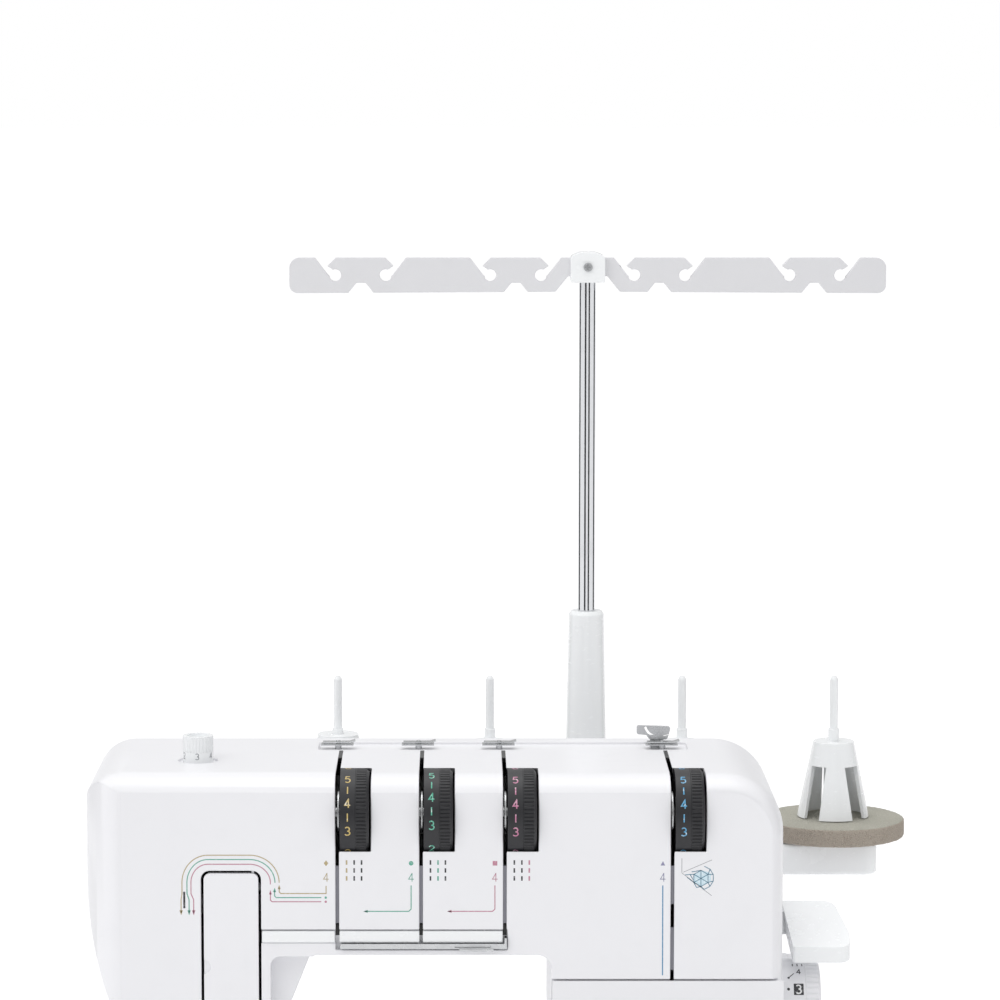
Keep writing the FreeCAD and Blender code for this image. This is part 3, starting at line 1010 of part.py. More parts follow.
def tree_plate():
    """The upright thread guide plate: eight hooks above, four V notches below."""
    rise_in, rise_out, step = 10.6, 17.4, 9.2
    corners = [(STAND_X - TREE_HALF, TREE_LOW, 4.5), (STAND_X - rise_out, TREE_LOW + 0.8, 1.0),
               (STAND_X - rise_in, TREE_LOW + step, 1.0), (STAND_X + rise_in, TREE_LOW + step, 1.0),
               (STAND_X + rise_out, TREE_LOW + 0.8, 1.0), (STAND_X + TREE_HALF, TREE_LOW, 4.5),
               (STAND_X + TREE_HALF, TREE_HIGH, 5.5), (STAND_X - TREE_HALF, TREE_HIGH, 5.5)]
    plate = plate_y(corners, STAND_Y - TREE_THICK / 2, STAND_Y + TREE_THICK / 2)
    cuts = []
    for centre, side in tree_hooks():
        cuts.extend(hook(centre, side))
    for offset in (-122.3, -38.7, 38.7, 122.3):
        x = STAND_X + offset
        cuts.append(plate_y([(x - 8.6, TREE_LOW - 2.0, 0.0), (x + 8.6, TREE_LOW - 2.0, 0.0),
                             (x + 2.4, TREE_LOW + 5.6, 1.2), (x - 2.4, TREE_LOW + 5.6, 1.2)],
                            STAND_Y - 5.0, STAND_Y + 5.0))
    screw_hole = rod_y(STAND_X, SCREW_Z, 1.6, STAND_Y - 5.0, STAND_Y + 5.0)
    return plate.cut(Part.makeCompound(cuts + [screw_hole]))


SCREW_Z = 492.1
HUB_DEPTH = 7.5


def tree_hub():
    """The cap that holds the plate on the rod; the plate lies in its slot."""
    block = plate_y([(STAND_X - HUB_HALF, HUB_LOW, 1.0), (STAND_X + HUB_HALF, HUB_LOW, 1.0),
                     (STAND_X + HUB_HALF, HUB_HIGH - 2.0, 3.0), (STAND_X + 4.0, HUB_HIGH, 6.0),
                     (STAND_X - 4.0, HUB_HIGH, 6.0), (STAND_X - HUB_HALF, HUB_HIGH - 2.0, 3.0)],
                    STAND_Y - HUB_DEPTH, STAND_Y + HUB_DEPTH)
    slot = box(STAND_X - 20.0, STAND_X + 20.0, STAND_Y - TREE_THICK / 2, STAND_Y + TREE_THICK / 2,
               TREE_LOW + 9.2, TREE_HIGH)
    bore = rod_z(STAND_X, STAND_Y, ROD_R + RUN, HUB_LOW - 1.0, HUB_LOW + 3.1)
    front_hole = rod_y(STAND_X, SCREW_Z, 1.6, STAND_Y - HUB_DEPTH - 1.0, STAND_Y + HUB_DEPTH - 1.5)
    return block.cut(Part.makeCompound([slot, bore, front_hole]))


def hub_screw():
    head = rod_y(STAND_X, SCREW_Z, 2.4, STAND_Y - HUB_DEPTH - 1.4, STAND_Y - HUB_DEPTH)
    shank = rod_y(STAND_X, SCREW_Z, 1.5, STAND_Y - HUB_DEPTH - 0.5, STAND_Y + HUB_DEPTH - 2.0)
    cross = [box(STAND_X - 1.5, STAND_X + 1.5, STAND_Y - 10.0, STAND_Y - HUB_DEPTH - 0.8,
                 SCREW_Z - 0.3, SCREW_Z + 0.3),
             box(STAND_X - 0.3, STAND_X + 0.3, STAND_Y - 10.0, STAND_Y - HUB_DEPTH - 0.8,
                 SCREW_Z - 1.5, SCREW_Z + 1.5)]
    return fuse(head, shank).cut(Part.makeCompound(cross))


# ---------------------------------------------------------------- all the pieces
def all_pieces():
    pieces = {
        "base_tray": base_tray, "bottom_plate": bottom_plate, "rubber_feet": rubber_feet,
        "front_casing": front_casing, "rear_casing": rear_casing, "casing_screws": casing_screws,
        "face_cover": face_cover, "looper_cover": looper_cover, "hinge_pins": hinge_pins,
        "bed_casing": bed_casing, "needle_plate": needle_plate, "feed_dog": feed_dog,
        "extension_table": extension_table, "inner_frame": inner_frame,
        "main_shaft": main_shaft, "handwheel": handwheel, "shaft_pulleys": shaft_pulleys,
        "upper_shaft": upper_shaft, "upper_pulley": upper_pulley, "needle_crank": needle_crank,
        "drive_belts": drive_belts, "motor": motor, "motor_pulley": motor_pulley,
        "needle_bar": needle_bar, "needle_clamp": needle_clamp, "needles": needles,
        "needle_link": needle_link, "presser_bar": presser_bar, "presser_spring": presser_spring,
        "presser_foot": presser_foot, "pressure_knob": pressure_knob, "looper": looper,
        "tension_brackets": tension_brackets, "tension_discs": tension_discs,
        "ledge_strips": ledge_strips, "guide_plate": guide_plate, "thread_clips": thread_clips,
        "guide_bracket": guide_bracket, "stitch_dial": stitch_dial, "feed_dial": feed_dial,
        "lifter_lever": lifter_lever, "power_switch": power_switch, "power_inlet": power_inlet,
        "sewing_lamp": sewing_lamp, "spool_stand": spool_stand, "spool_pins": spool_pins,
        "foam_pads": foam_pads, "tree_post": tree_post, "tree_rod": tree_rod,
        "tree_plate": tree_plate, "tree_hub": tree_hub, "hub_screw": hub_screw}
    for number, x in enumerate(SLITS, start=1):
        pieces[f"tension_dial_{number}"] = lambda x=x: tension_dial(x)
    for index in range(len(PIN_OFFSETS)):
        pieces[f"spool_cone_{index + 1}"] = lambda index=index: spool_cone(index)
    return pieces


os.makedirs("parts", exist_ok=True)
for name, make in all_pieces().items():
    shape = make()
    print(f"{name:18s} solids {len(shape.Solids)}  volume {shape.Volume / 1000:8.2f} cm3  valid {shape.isValid()}")
    shape.exportStep(f"parts/{name}.step")
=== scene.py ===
# %% [markdown]
# # A free-arm cover stitch machine around its CAD frame
#
# The real machine is white moulded plastic over a cast frame, with black thumb dials, a chrome thread
# tree, foam pads under the spools and printed marks that show where the threads run.
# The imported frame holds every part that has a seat, a size or a joint. What it lacks is what an eye looks
# for: edges that catch light, surfaces with grain, ink, foam and a coil spring. So the frame is loaded
# first, and everything below takes its places from it.

# %% Load the frame
import json
import math

import bmesh
import bpy
import numpy as np
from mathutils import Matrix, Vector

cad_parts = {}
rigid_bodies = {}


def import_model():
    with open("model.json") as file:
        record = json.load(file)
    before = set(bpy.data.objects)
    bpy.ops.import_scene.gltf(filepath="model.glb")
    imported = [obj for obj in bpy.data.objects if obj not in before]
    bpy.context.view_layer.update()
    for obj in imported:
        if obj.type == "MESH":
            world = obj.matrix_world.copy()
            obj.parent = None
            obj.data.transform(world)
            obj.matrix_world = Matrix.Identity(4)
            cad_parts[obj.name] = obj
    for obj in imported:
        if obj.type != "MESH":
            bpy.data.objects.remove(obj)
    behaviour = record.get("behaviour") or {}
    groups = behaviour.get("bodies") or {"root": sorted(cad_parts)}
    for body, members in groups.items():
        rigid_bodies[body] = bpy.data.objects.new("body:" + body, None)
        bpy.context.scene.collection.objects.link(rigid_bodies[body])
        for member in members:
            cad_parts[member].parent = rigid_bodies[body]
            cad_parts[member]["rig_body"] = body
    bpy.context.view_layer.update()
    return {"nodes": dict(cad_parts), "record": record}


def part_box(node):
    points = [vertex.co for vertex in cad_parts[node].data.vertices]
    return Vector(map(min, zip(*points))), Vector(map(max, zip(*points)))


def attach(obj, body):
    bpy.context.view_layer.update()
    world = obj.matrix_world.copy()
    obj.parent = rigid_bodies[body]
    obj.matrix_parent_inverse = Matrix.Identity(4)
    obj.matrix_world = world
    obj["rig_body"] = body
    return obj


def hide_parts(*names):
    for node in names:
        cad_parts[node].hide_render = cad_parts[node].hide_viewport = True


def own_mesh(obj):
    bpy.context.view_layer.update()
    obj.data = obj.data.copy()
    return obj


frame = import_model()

MM = 0.001

# %% [markdown]
# ## Places
#
# Printed marks, lamps and pads could be placed by typed coordinates, but then they would stay behind if
# a size changed. Reading them from the boxes of the nodes they belong to keeps them in step. The front of
# the casing is the plane that nearly all the printing lies on.

# %% Places read from the frame
def corners_of(node):
    """The low and the high corner of a node's box, as the two rows of an array."""
    return np.array(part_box(node))


front_low, front_high = corners_of("front_casing")
FRONT = front_low[1]
TOP = front_high[2]
BODY_RIGHT = front_high[0]
SLIT_TO_DIAL = 1.4 * MM
SLIT_WIDTH = 1.8 * MM
DIALS = [f"tension_dial_{k}" for k in (1, 2, 3, 4)]
CONES = [f"spool_cone_{k}" for k in (1, 2, 3, 4)]
dial_boxes = [corners_of(name) for name in DIALS]
slits = [box[0][0] - SLIT_TO_DIAL for box in dial_boxes]
cover_low, cover_high = corners_of("face_cover")
print("slits at x =", np.round(np.array(slits) * 1000, 1), "mm; front face at y =", round(FRONT * 1000, 1))

# %% [markdown]
# ## Shader maths as Python
#
# A finish is a small sum of patterns: fine grain, slow waviness, scuffs. As a node tree that is hard to
# read, so one class wraps a socket and turns `+ - * < >` into Math nodes. The rest comes from one `node`
# method.

# %% A signal: one socket that takes part in arithmetic
class Signal:
    """One output of a shader node; each operator adds a Math node and gives its output."""

    def __init__(self, finish, socket):
        self.finish, self.socket = finish, socket

    def _math(self, operation, *values):
        return self.finish.node("ShaderNodeMath", {"operation": operation}, dict(enumerate(values)))

    def ramp(self, low, high):
        """0 below low, 1 above high, and a smooth step between them."""
        settings = {"interpolation_type": "SMOOTHSTEP"}
        return self.finish.node("ShaderNodeMapRange", settings, {0: self, 1: low, 2: high, 3: 0.0, 4: 1.0})


OPERATORS = {"__add__": "ADD", "__sub__": "SUBTRACT", "__mul__": "MULTIPLY", "__gt__": "GREATER_THAN",
             "__lt__": "LESS_THAN", "__abs__": "ABSOLUTE", "larger": "MAXIMUM"}
for method, operation in OPERATORS.items():
    setattr(Signal, method, lambda *values, operation=operation: values[0]._math(operation, *values))
print(len(OPERATORS), "operations on signals")

# %% [markdown]
# A finish owns one material, and its methods make the patterns.

# %% A finish: one material with its node tree
class Finish:
    """A Principled material. node() makes every other node; feed() links a signal to the shader."""

    def __init__(self, name, colour, roughness, metallic=0.0, **fixed):
        self.material = bpy.data.materials.new(name)
        self.material.use_nodes = True
        self.tree = self.material.node_tree
        self.shader = self.tree.nodes["Principled BSDF"]
        constants = {"Base Color": (*colour, 1.0), "Roughness": roughness, "Metallic": metallic, **fixed}
        for socket, value in constants.items():
            self.shader.inputs[socket].default_value = value
        self.material.diffuse_color = (*colour, 1.0)
        self.spot = self.node("ShaderNodeTexCoord", output="Object")

    def node(self, kind, settings=None, inputs=None, output=0):
        made = self.tree.nodes.new(kind)
        for key, value in (settings or {}).items():
            setattr(made, key, value)
        for key, value in (inputs or {}).items():
            if isinstance(value, Signal):
                self.tree.links.new(value.socket, made.inputs[key])
            else:
                made.inputs[key].default_value = value
        return Signal(self, made.outputs[output])

    def feed(self, socket, signal):
        self.tree.links.new(signal.socket, self.shader.inputs[socket])

    def stretched(self, scale):
        """The spot with each axis scaled, for grain that runs one way."""
        return self.node("ShaderNodeMapping", {}, {"Vector": self.spot, "Scale": scale})

    def noise(self, scale, detail=3.0, spot=None, rough=0.55):
        values = {"Vector": spot or self.spot, "Scale": scale, "Detail": detail, "Roughness": rough}
        return self.node("ShaderNodeTexNoise", {}, values, "Fac")

    def axes(self):
        """The spot's x, y and z as three signals."""
        split = self.node("ShaderNodeSeparateXYZ", {}, {0: self.spot})
        outputs = split.socket.node.outputs
        return [Signal(self, outputs[k]) for k in range(3)]

    def tint(self, factor, first, second):
        """A colour between two, by a factor."""
        values = {0: factor, 6: first if isinstance(first, Signal) else (*first, 1.0),
                  7: second if isinstance(second, Signal) else (*second, 1.0)}
        return self.node("ShaderNodeMix", {"data_type": "RGBA"}, values, 2)

    def relief(self, height, depth):
        """Bump whose full height is depth, in metres."""
        self.feed("Normal", self.node("ShaderNodeBump", {}, {"Distance": depth, "Height": height}, "Normal"))


# %% [markdown]
# ## The finishes
#
# The casing is ABS from a polished tool: nearly smooth, with a grain you only see in the highlights, a
# little waviness from moulding, and fine scuffs. The base has a coarser, spark eroded texture. Colours vary
# by a percent or two, because a colour that is the same everywhere looks painted on.

# %% White casing plastic
def moulded(name, colour, roughness, grain=1400.0, grain_depth=0.000012, scuff=0.10, **fixed):
    """Moulded plastic: fine grain, slow waviness, and scuffs that change the roughness."""
    finish = Finish(name, colour, roughness, **fixed)
    fine = finish.noise(grain, 2.0)
    slow = finish.noise(22.0, 2.0)
    scuffs = finish.noise(260.0, 4.0, finish.stretched((1.0, 0.35, 2.4))).ramp(0.60, 0.74)
    dust = finish.noise(75.0, 5.0).ramp(0.50, 0.72)
    finish.feed("Roughness", slow * 0.10 + scuffs * scuff + dust * 0.05 + (roughness - 0.05))
    shade = tuple(0.965 * c for c in colour)
    finish.feed("Base Color", finish.tint(slow * 0.5 + dust * 0.25, colour, shade))
    finish.relief(fine * 0.7 + slow * 0.3, grain_depth)
    return finish


WHITE = (0.86, 0.86, 0.885)
white_plastic = moulded("white_abs", WHITE, 0.30, IOR=1.53)
base_plastic = moulded("base_abs", (0.72, 0.72, 0.75), 0.48, grain=900.0, grain_depth=0.00004)
black_plastic = moulded("dial_black", (0.016, 0.016, 0.019), 0.42, grain=1700.0, grain_depth=0.00002)
pulley_plastic = moulded("pulley_nylon", (0.06, 0.06, 0.065), 0.50)
silver_plastic = moulded("pearl_grey", (0.74, 0.74, 0.76), 0.30, grain_depth=0.00002)
# painted light: a lighter copy of the white plastic, partly to lift parts the lamps leave darker; it is also
# glossier, and it gives the hub its own white
glossy_white_painted_light = moulded("gloss_white_abs_painted_light", (0.915, 0.93, 0.94), 0.24, grain=1700.0, IOR=1.53)
# painted shade: a dark grey that stands for the shade in the tree plate's moulded digits
digit_painted_shade = moulded("grey_digit_painted_shade", (0.26, 0.265, 0.28), 0.40, grain_depth=0.00002)
print("moulded finishes ready")

# %% [markdown]
# The thread slits open into the dark inside of the casing. That shade is painted into the casing's finish
# inside the slits, by masks on Object coordinates: near the slit's plane and below the front skin it is
# painted grey shade, and deeper than the groove it is painted black shade.

# %% White casing plastic with painted shade in the slits
def casing_plastic():
    """White ABS, with painted grey shade in the grooves of the thread slits and painted black shade on the
    walls behind them.
    """
    finish = moulded("white_abs_casing_painted_slit_shade", WHITE, 0.30, IOR=1.53)
    x, y, z = finish.axes()
    ledge_middle = float(np.mean(corners_of("ledge_strips")[:, 2]))
    near = None
    for number, middle in enumerate(slits):
        here = abs(x - float(middle)) < SLIT_WIDTH * 0.5 + 0.15 * MM
        here = here * (z > ledge_middle) if number < 3 else here
        near = here if near is None else near.larger(here)
    white = Signal(finish, finish.shader.inputs["Base Color"].links[0].from_socket)
    in_groove, behind_groove = y > float(FRONT + 0.5 * MM), y > float(FRONT + 2.0 * MM)
    # painted shade: the groove's floor is painted grey
    groove_painted_shade = finish.tint(near * in_groove, white, (0.30, 0.30, 0.34))
    # painted shade: deeper than the groove the casing's white walls are painted near black, for the shade
    # inside the closed casing
    finish.feed("Base Color", finish.tint(near * behind_groove, groove_painted_shade, (0.006, 0.006, 0.007)))
    return finish


casing_white_painted_shade = casing_plastic()
print("casing finish has masks for", len(slits), "slits")

# %% [markdown]
# What tells steel from chrome is how rough it is and which way its brush lines run. Noise stretched along
# one axis gives the lines, and a slower noise the smears of fingers. A cast part has only a deeper grain.

# %% Metals
ALONG_GRAIN = 0.02     # noise is stretched fifty times along the brush lines


def metal(name, colour, roughness, grain_axis=None, smear=0.12, depth=0.000004):
    """Metal: brush lines along one axis or a fine cast grain, and smears of a duller shine."""
    finish = Finish(name, colour, roughness, 1.0)
    stretch = [1.0, 1.0, 1.0]
    if grain_axis is not None:
        stretch[grain_axis] = ALONG_GRAIN
    lines = finish.noise(2600.0, 3.0, finish.stretched(tuple(stretch)))
    smears = finish.noise(90.0, 4.0).ramp(0.45, 0.75)
    finish.feed("Roughness", lines * 0.10 + smears * smear + (roughness - 0.05))
    finish.feed("Base Color", finish.tint(smears * 0.6, colour, tuple(0.90 * c for c in colour)))
    finish.relief(lines, depth)
    return finish


chrome = metal("polished_chrome", (0.72, 0.73, 0.75), 0.09, grain_axis=2, smear=0.05, depth=0.000001)
steel = metal("plated_steel", (0.60, 0.61, 0.62), 0.26, grain_axis=0)
cast_metal = metal("cast_frame", (0.52, 0.53, 0.54), 0.52, depth=0.00005)
print("metals ready")

# %% [markdown]
# Foam is a mass of open cells: dark pits between pale struts. A Voronoi distance gives the pits, and a
# slower noise the uneven grey-beige. The cut rim is warmer than the faces, and it is also painted darker, a
# painted shade for the side that the light from above leaves dimmer; a mask on height tells them apart.
# Rubber is dusty, enamel has orange peel, and the lamp's lens is pebbled clear plastic.

# %% Foam, rubber, enamel and the lamp's lens
def open_foam():
    """Grey-green on the flat faces, warmer on the cut rim and darker there as painted shade, with dark pits
    and red-brown flecks.
    """
    finish = Finish("open_cell_foam", (0.50, 0.47, 0.42), 0.95)
    cells = finish.node("ShaderNodeTexVoronoi", {"feature": "F1"}, {"Vector": finish.spot, "Scale": 900.0})
    pits = cells.ramp(0.15, 0.70)
    flecks = finish.noise(700.0, 2.0).ramp(0.62, 0.72)
    _, _, z = finish.axes()
    rim = z < float(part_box("spool_cone_4")[0][2]) - 1.1 * MM
    blotch = finish.noise(55.0, 3.0)
    face = finish.tint(blotch, (0.42, 0.415, 0.35), (0.50, 0.49, 0.425))
    # painted shade: the rim's tone is warmer, which is the cut's own colour, and darker, which stands for
    # the shade of the side
    warm_cut_painted_shade = finish.tint(blotch, (0.385, 0.33, 0.275), (0.47, 0.41, 0.345))
    pale = finish.tint(rim, face, warm_cut_painted_shade)
    flecked = finish.tint(flecks * rim * 0.5, pale, (0.24, 0.15, 0.12))
    finish.feed("Base Color", finish.tint(pits * 0.32, flecked, (0.25, 0.23, 0.20)))
    finish.relief(pits * -1.0 + finish.noise(1500.0, 2.0) * 0.3, 0.0004)
    return finish


def soft_rubber():
    """Black rubber with pale dust in patches."""
    finish = Finish("moulded_rubber", (0.022, 0.022, 0.023), 0.78)
    dust = finish.noise(140.0, 4.0).ramp(0.45, 0.8)
    finish.feed("Base Color", finish.tint(dust * 0.5, (0.020, 0.020, 0.021), (0.055, 0.054, 0.052)))
    finish.feed("Roughness", dust * 0.12 + 0.70)
    finish.relief(finish.noise(1100.0), 0.00003)
    return finish


def motor_enamel():
    """Black stoving enamel: a clear coat over orange peel."""
    finish = Finish("motor_enamel", (0.03, 0.03, 0.033), 0.38, **{"Coat Weight": 0.4})
    peel = finish.noise(420.0, 1.0)
    finish.feed("Roughness", finish.noise(60.0) * 0.15 + 0.30)
    finish.relief(peel, 0.00004)
    return finish


def clear_lens():
    """Clear plastic with a fine pebble that spreads the lamp's light."""
    finish = Finish("lamp_lens", (0.93, 0.95, 0.97), 0.12, IOR=1.49, **{"Transmission Weight": 0.75})
    finish.feed("Roughness", finish.noise(80.0) * 0.10 + 0.08)
    finish.relief(finish.noise(700.0, 1.0), 0.00006)
    return finish


foam, rubber, motor_paint, lens = open_foam(), soft_rubber(), motor_enamel(), clear_lens()
print("foam, rubber, enamel and lens ready")

# %% [markdown]
# Printing ink is pad printed: thin, slightly glossy, and a little uneven in density.

# %% Inks
def ink(name, colour, thin):
    """Pad-printed ink whose density varies a little from place to place."""
    finish = Finish(f"ink_{name}", colour, 0.45)
    density = finish.noise(900.0, 3.0).ramp(0.22, 0.50)
    washed = tuple(1.0 - thin * (1.0 - c) * 0.9 for c in colour)
    finish.feed("Base Color", finish.tint(density, washed, colour))
    finish.feed("Roughness", density * 0.1 + 0.38)
    return finish.material


INK_COLOURS = {
    "tan": (0.47, 0.38, 0.21), "green": (0.12, 0.40, 0.30),
    "pink": (0.52, 0.23, 0.31), "blue": (0.10, 0.27, 0.46),
    "black": (0.03, 0.03, 0.035), "grey": (0.30, 0.31, 0.33),
    "violet": (0.28, 0.28, 0.42), "steel_blue": (0.12, 0.26, 0.36),
    "dial_gold": (0.58, 0.43, 0.14), "dial_green": (0.10, 0.44, 0.31),
    "dial_pink": (0.54, 0.20, 0.33), "dial_blue": (0.10, 0.36, 0.60),
    "pale_blue": (0.60, 0.76, 0.84), "white": (0.80, 0.80, 0.80),
}
THIN = {"dial_gold": 0.25, "dial_green": 0.25, "dial_pink": 0.25, "dial_blue": 0.25, "pale_blue": 0.4}
INKS = {name: ink(name, colour, THIN.get(name, 0.85)) for name, colour in INK_COLOURS.items()}
print(len(INKS), "inks")

# %% [markdown]
# ## Skins for the CAD parts
#
# No moulded or ground part has the knife-sharp edges of a CAD part. Each real edge is rolled over by a few
# tenths of a millimetre, and that thin line of light is most of what makes a product look real. A CAD mesh
# is loose triangles, so a copy is merged, its flat faces are joined into single polygons, a bevel rounds
# every edge sharper than 30 degrees, and normals weighted by face area keep flat faces flat. Where a face
# is narrower than its two rolled edges, the bevel folds it over itself and it shows as a black patch. The
# triangles of a folded face cover more area than its outline, so such faces are found and left sharp.

# %% Turn a CAD node into a skin with rolled edges
def placed(name, data):
    """A new object in the scene, with its data."""
    made = bpy.data.objects.new(name, data)
    bpy.context.scene.collection.objects.link(made)
    return made


SHARP, FLAT = math.radians(30.0), math.radians(0.6)
SAME_POINT = 2e-6
slot_of = {part["node"]: part["material_slot"] for part in frame["record"]["subparts"]}
INNER_FACE = float(FRONT + 3.0 * MM)     # the back of the casing's front wall, which nobody sees
FOLD_AREA = 0.5e-6     # a face whose triangles cover half a square millimetre more than it does is folded


def folded_faces(piece):
    """Numbers of the CAD faces that the bevel folds over themselves: their triangles overlap."""
    evaluated = piece.evaluated_get(bpy.context.evaluated_depsgraph_get())
    shaped = evaluated.to_mesh()
    shaped.calc_loop_triangles()
    places = np.empty(len(shaped.vertices) * 3)
    shaped.vertices.foreach_get("co", places)
    corners, owner = (np.empty(len(shaped.loop_triangles) * size, int) for size in (3, 1))
    shaped.loop_triangles.foreach_get("vertices", corners)
    shaped.loop_triangles.foreach_get("polygon_index", owner)
    a, b, c = places.reshape(-1, 3)[corners.reshape(-1, 3)].transpose(1, 0, 2)
    half = np.cross(b - a, c - a) / 2
    count = len(shaped.polygons)
    covered = np.bincount(owner, np.linalg.norm(half, axis=1), count)
    net = np.linalg.norm([np.bincount(owner, half[:, k], count) for k in range(3)], axis=0)
    source = np.empty(count, int)
    shaped.attributes["cad_face"].data.foreach_get("value", source)
    evaluated.to_mesh_clear()
    return set(source[covered - net > FOLD_AREA].tolist())


def unfold(piece, rounds=4):
    """Leave the edges of a folded face sharp, and look again; a few rounds settle it."""
    mesh = piece.data
    edge_at = {tuple(sorted(e.vertices)): e.index for e in mesh.edges}
    for _ in range(rounds):
        folded = folded_faces(piece)
        if not folded:
            return
        weights = mesh.attributes["bevel_weight_edge"].data
        for number in folded:
            for key in mesh.polygons[number].edge_keys:
                weights[edge_at[tuple(sorted(key))]].value = 0.0
        mesh.update()


def hidden(edge):
    """True for an edge that lies in the back of the casing's front wall."""
    return all(abs(v.co.y - INNER_FACE) < 0.02 * MM for v in edge.verts)


def skin(node, finish, edge):
    """A merged copy of a CAD node whose sharp edges are rounded to `edge` metres."""
    mesh = frame["nodes"][node].data.copy()
    mesh.name = f"{node}_skin"
    shape = bmesh.new()
    shape.from_mesh(mesh)
    bmesh.ops.remove_doubles(shape, verts=shape.verts, dist=SAME_POINT)
    joined = [e for e in shape.edges if not hidden(e)]
    bmesh.ops.dissolve_limit(shape, angle_limit=FLAT, verts=shape.verts, edges=joined)
    weight = shape.edges.layers.float.new("bevel_weight_edge")
    for side in shape.edges:
        side[weight] = float(side.calc_face_angle(0.0) > SHARP and not hidden(side))
    number = shape.faces.layers.int.new("cad_face")
    shape.faces.index_update()
    for face in shape.faces:
        face.smooth, face.material_index, face[number] = True, 0, face.index
    shape.to_mesh(mesh)
    shape.free()
    mesh.materials.clear()
    mesh.materials.append(finish.material)
    mesh.set_sharp_from_angle(angle=SHARP)
    piece = placed(f"{node}_skin", mesh)
    if edge > 0.0:
        bevel = piece.modifiers.new("rolled_edges", "BEVEL")
        bevel.width, bevel.segments = edge, 2
        bevel.limit_method = "WEIGHT"
        bevel.use_clamp_overlap = False
        bevel.miter_outer = "MITER_ARC"
        even = piece.modifiers.new("even_shading", "WEIGHTED_NORMAL")
        even.keep_sharp = True
        unfold(piece)
    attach(piece, frame["nodes"][node]["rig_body"])
    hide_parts(node)
    return piece


# %% [markdown]
# Each part gets the edge radius of its process: about half a millimetre on the big mouldings, a quarter on
# small ones, a tenth on stamped sheet, and none on needles and shafts, whose ends the CAD already shapes. A
# few parts leave their slot's finish: the small white mouldings are glossier than the casing and lighter,
# and their lighter white is partly painted light that lifts parts the lamps leave darker.

# %% Dress every hard part
FINISH_OF_SLOT = {
    "white_plastic": white_plastic, "base_plastic": base_plastic, "black_plastic": black_plastic,
    "pulley_plastic": pulley_plastic, "silver_plastic": silver_plastic, "chrome": chrome, "steel": steel,
    "cast_metal": cast_metal, "motor_paint": motor_paint, "rubber": rubber, "lens": lens,
}
EDGES = {
    0.45: ("rear_casing", "front_casing", "base_tray", "bed_casing", "extension_table", "looper_cover",
           "spool_stand", "handwheel"),
    0.25: ("face_cover", "lifter_lever", "tree_post", "tree_plate", "tree_hub", "power_inlet", "inner_frame",
           "rubber_feet", "stitch_dial", "feed_dial", "motor", "ledge_strips", "power_switch"),
    0.12: ("pressure_knob", "presser_foot", "needle_clamp", "guide_plate", "needle_plate", "bottom_plate",
           "sewing_lamp", "needle_link", "needle_crank", "looper", "feed_dog", "spool_pins", "casing_screws",
           "hub_screw", "tension_brackets", "tension_discs", "shaft_pulleys", "upper_pulley", "motor_pulley",
           "drive_belts", "main_shaft", "upper_shaft", "tree_rod", "needle_bar", "presser_bar",
           *CONES, *DIALS),
    0.08: ("thread_clips", "guide_bracket"),
    0.0: ("needles", "hinge_pins"),
}
# parts with the lighter white: partly painted light, partly their own glossier white
GLOSSY_AND_PAINTED_LIGHT_PARTS = ("ledge_strips", "tree_post", "tree_hub", "spool_pins", "spool_stand", "lifter_lever",
          "pressure_knob", *CONES)
FINISH_OF_NODE = {"front_casing": casing_white_painted_shade, "hub_screw": cast_metal,
                  **dict.fromkeys(GLOSSY_AND_PAINTED_LIGHT_PARTS, glossy_white_painted_light)}
dressed = set()
for millimetres, names in EDGES.items():
    for node in names:
        skin(node, FINISH_OF_NODE.get(node) or FINISH_OF_SLOT[slot_of[node]], millimetres * MM)
        dressed.add(node)
print(len(dressed), "parts dressed; left for their own cells:", sorted(set(frame["nodes"]) - dressed))

# %% [markdown]
# ## Surfaces from formulas
#
# New pieces are grids: a shape is a function of two parameters, worked out for the whole grid at once.
# `grid_faces` joins neighbouring rows and columns into quads, and closes the grid in either direction;
# `mesh_piece` makes the object.

# %% Grids into meshes
def grid_faces(rows, columns, close_rows=False, close_columns=False):
    """Quads of a rows x columns grid; a closed direction also joins its last line to its first."""
    i = np.arange(rows if close_rows else rows - 1)[:, None]
    j = np.arange(columns if close_columns else columns - 1)[None, :]
    i2, j2 = (i + 1) % rows, (j + 1) % columns
    corners = [i * columns + j, i * columns + j2, i2 * columns + j2, i2 * columns + j]
    return np.stack([np.broadcast_to(c, (i.size, j.size)).ravel() for c in corners], axis=1)


def mesh_piece(name, points, faces, material, smooth=True):
    """A mesh object at the origin from an (n, 3) array of points and an array of quads."""
    mesh = bpy.data.meshes.new(name)
    mesh.from_pydata(points, [], faces.tolist())
    mesh.polygons.foreach_set("use_smooth", np.full(len(mesh.polygons), smooth))
    mesh.materials.append(material)
    mesh.update()
    return placed(name, mesh)


print("a 3 x 4 grid has", len(grid_faces(3, 4)), "faces and a closed one", len(grid_faces(3, 4, True, True)))

# %% [markdown]
# ## Foam pads
#
# A spool pad is punched from a sheet of foam: a flat disc with a crisp cut edge, a hole for the pin, and
# a soft dent where the cone stands on it. Cloth simulation suits stuffed covers, but foam has no skin, so
# the disc is a closed profile turned about the pin, and a few seeded sine waves make it uneven.

# %% A bumpy closed ring of foam
pad_low, pad_high = corners_of("foam_pads")
PAD_R = (pad_high[1] - pad_low[1]) / 2


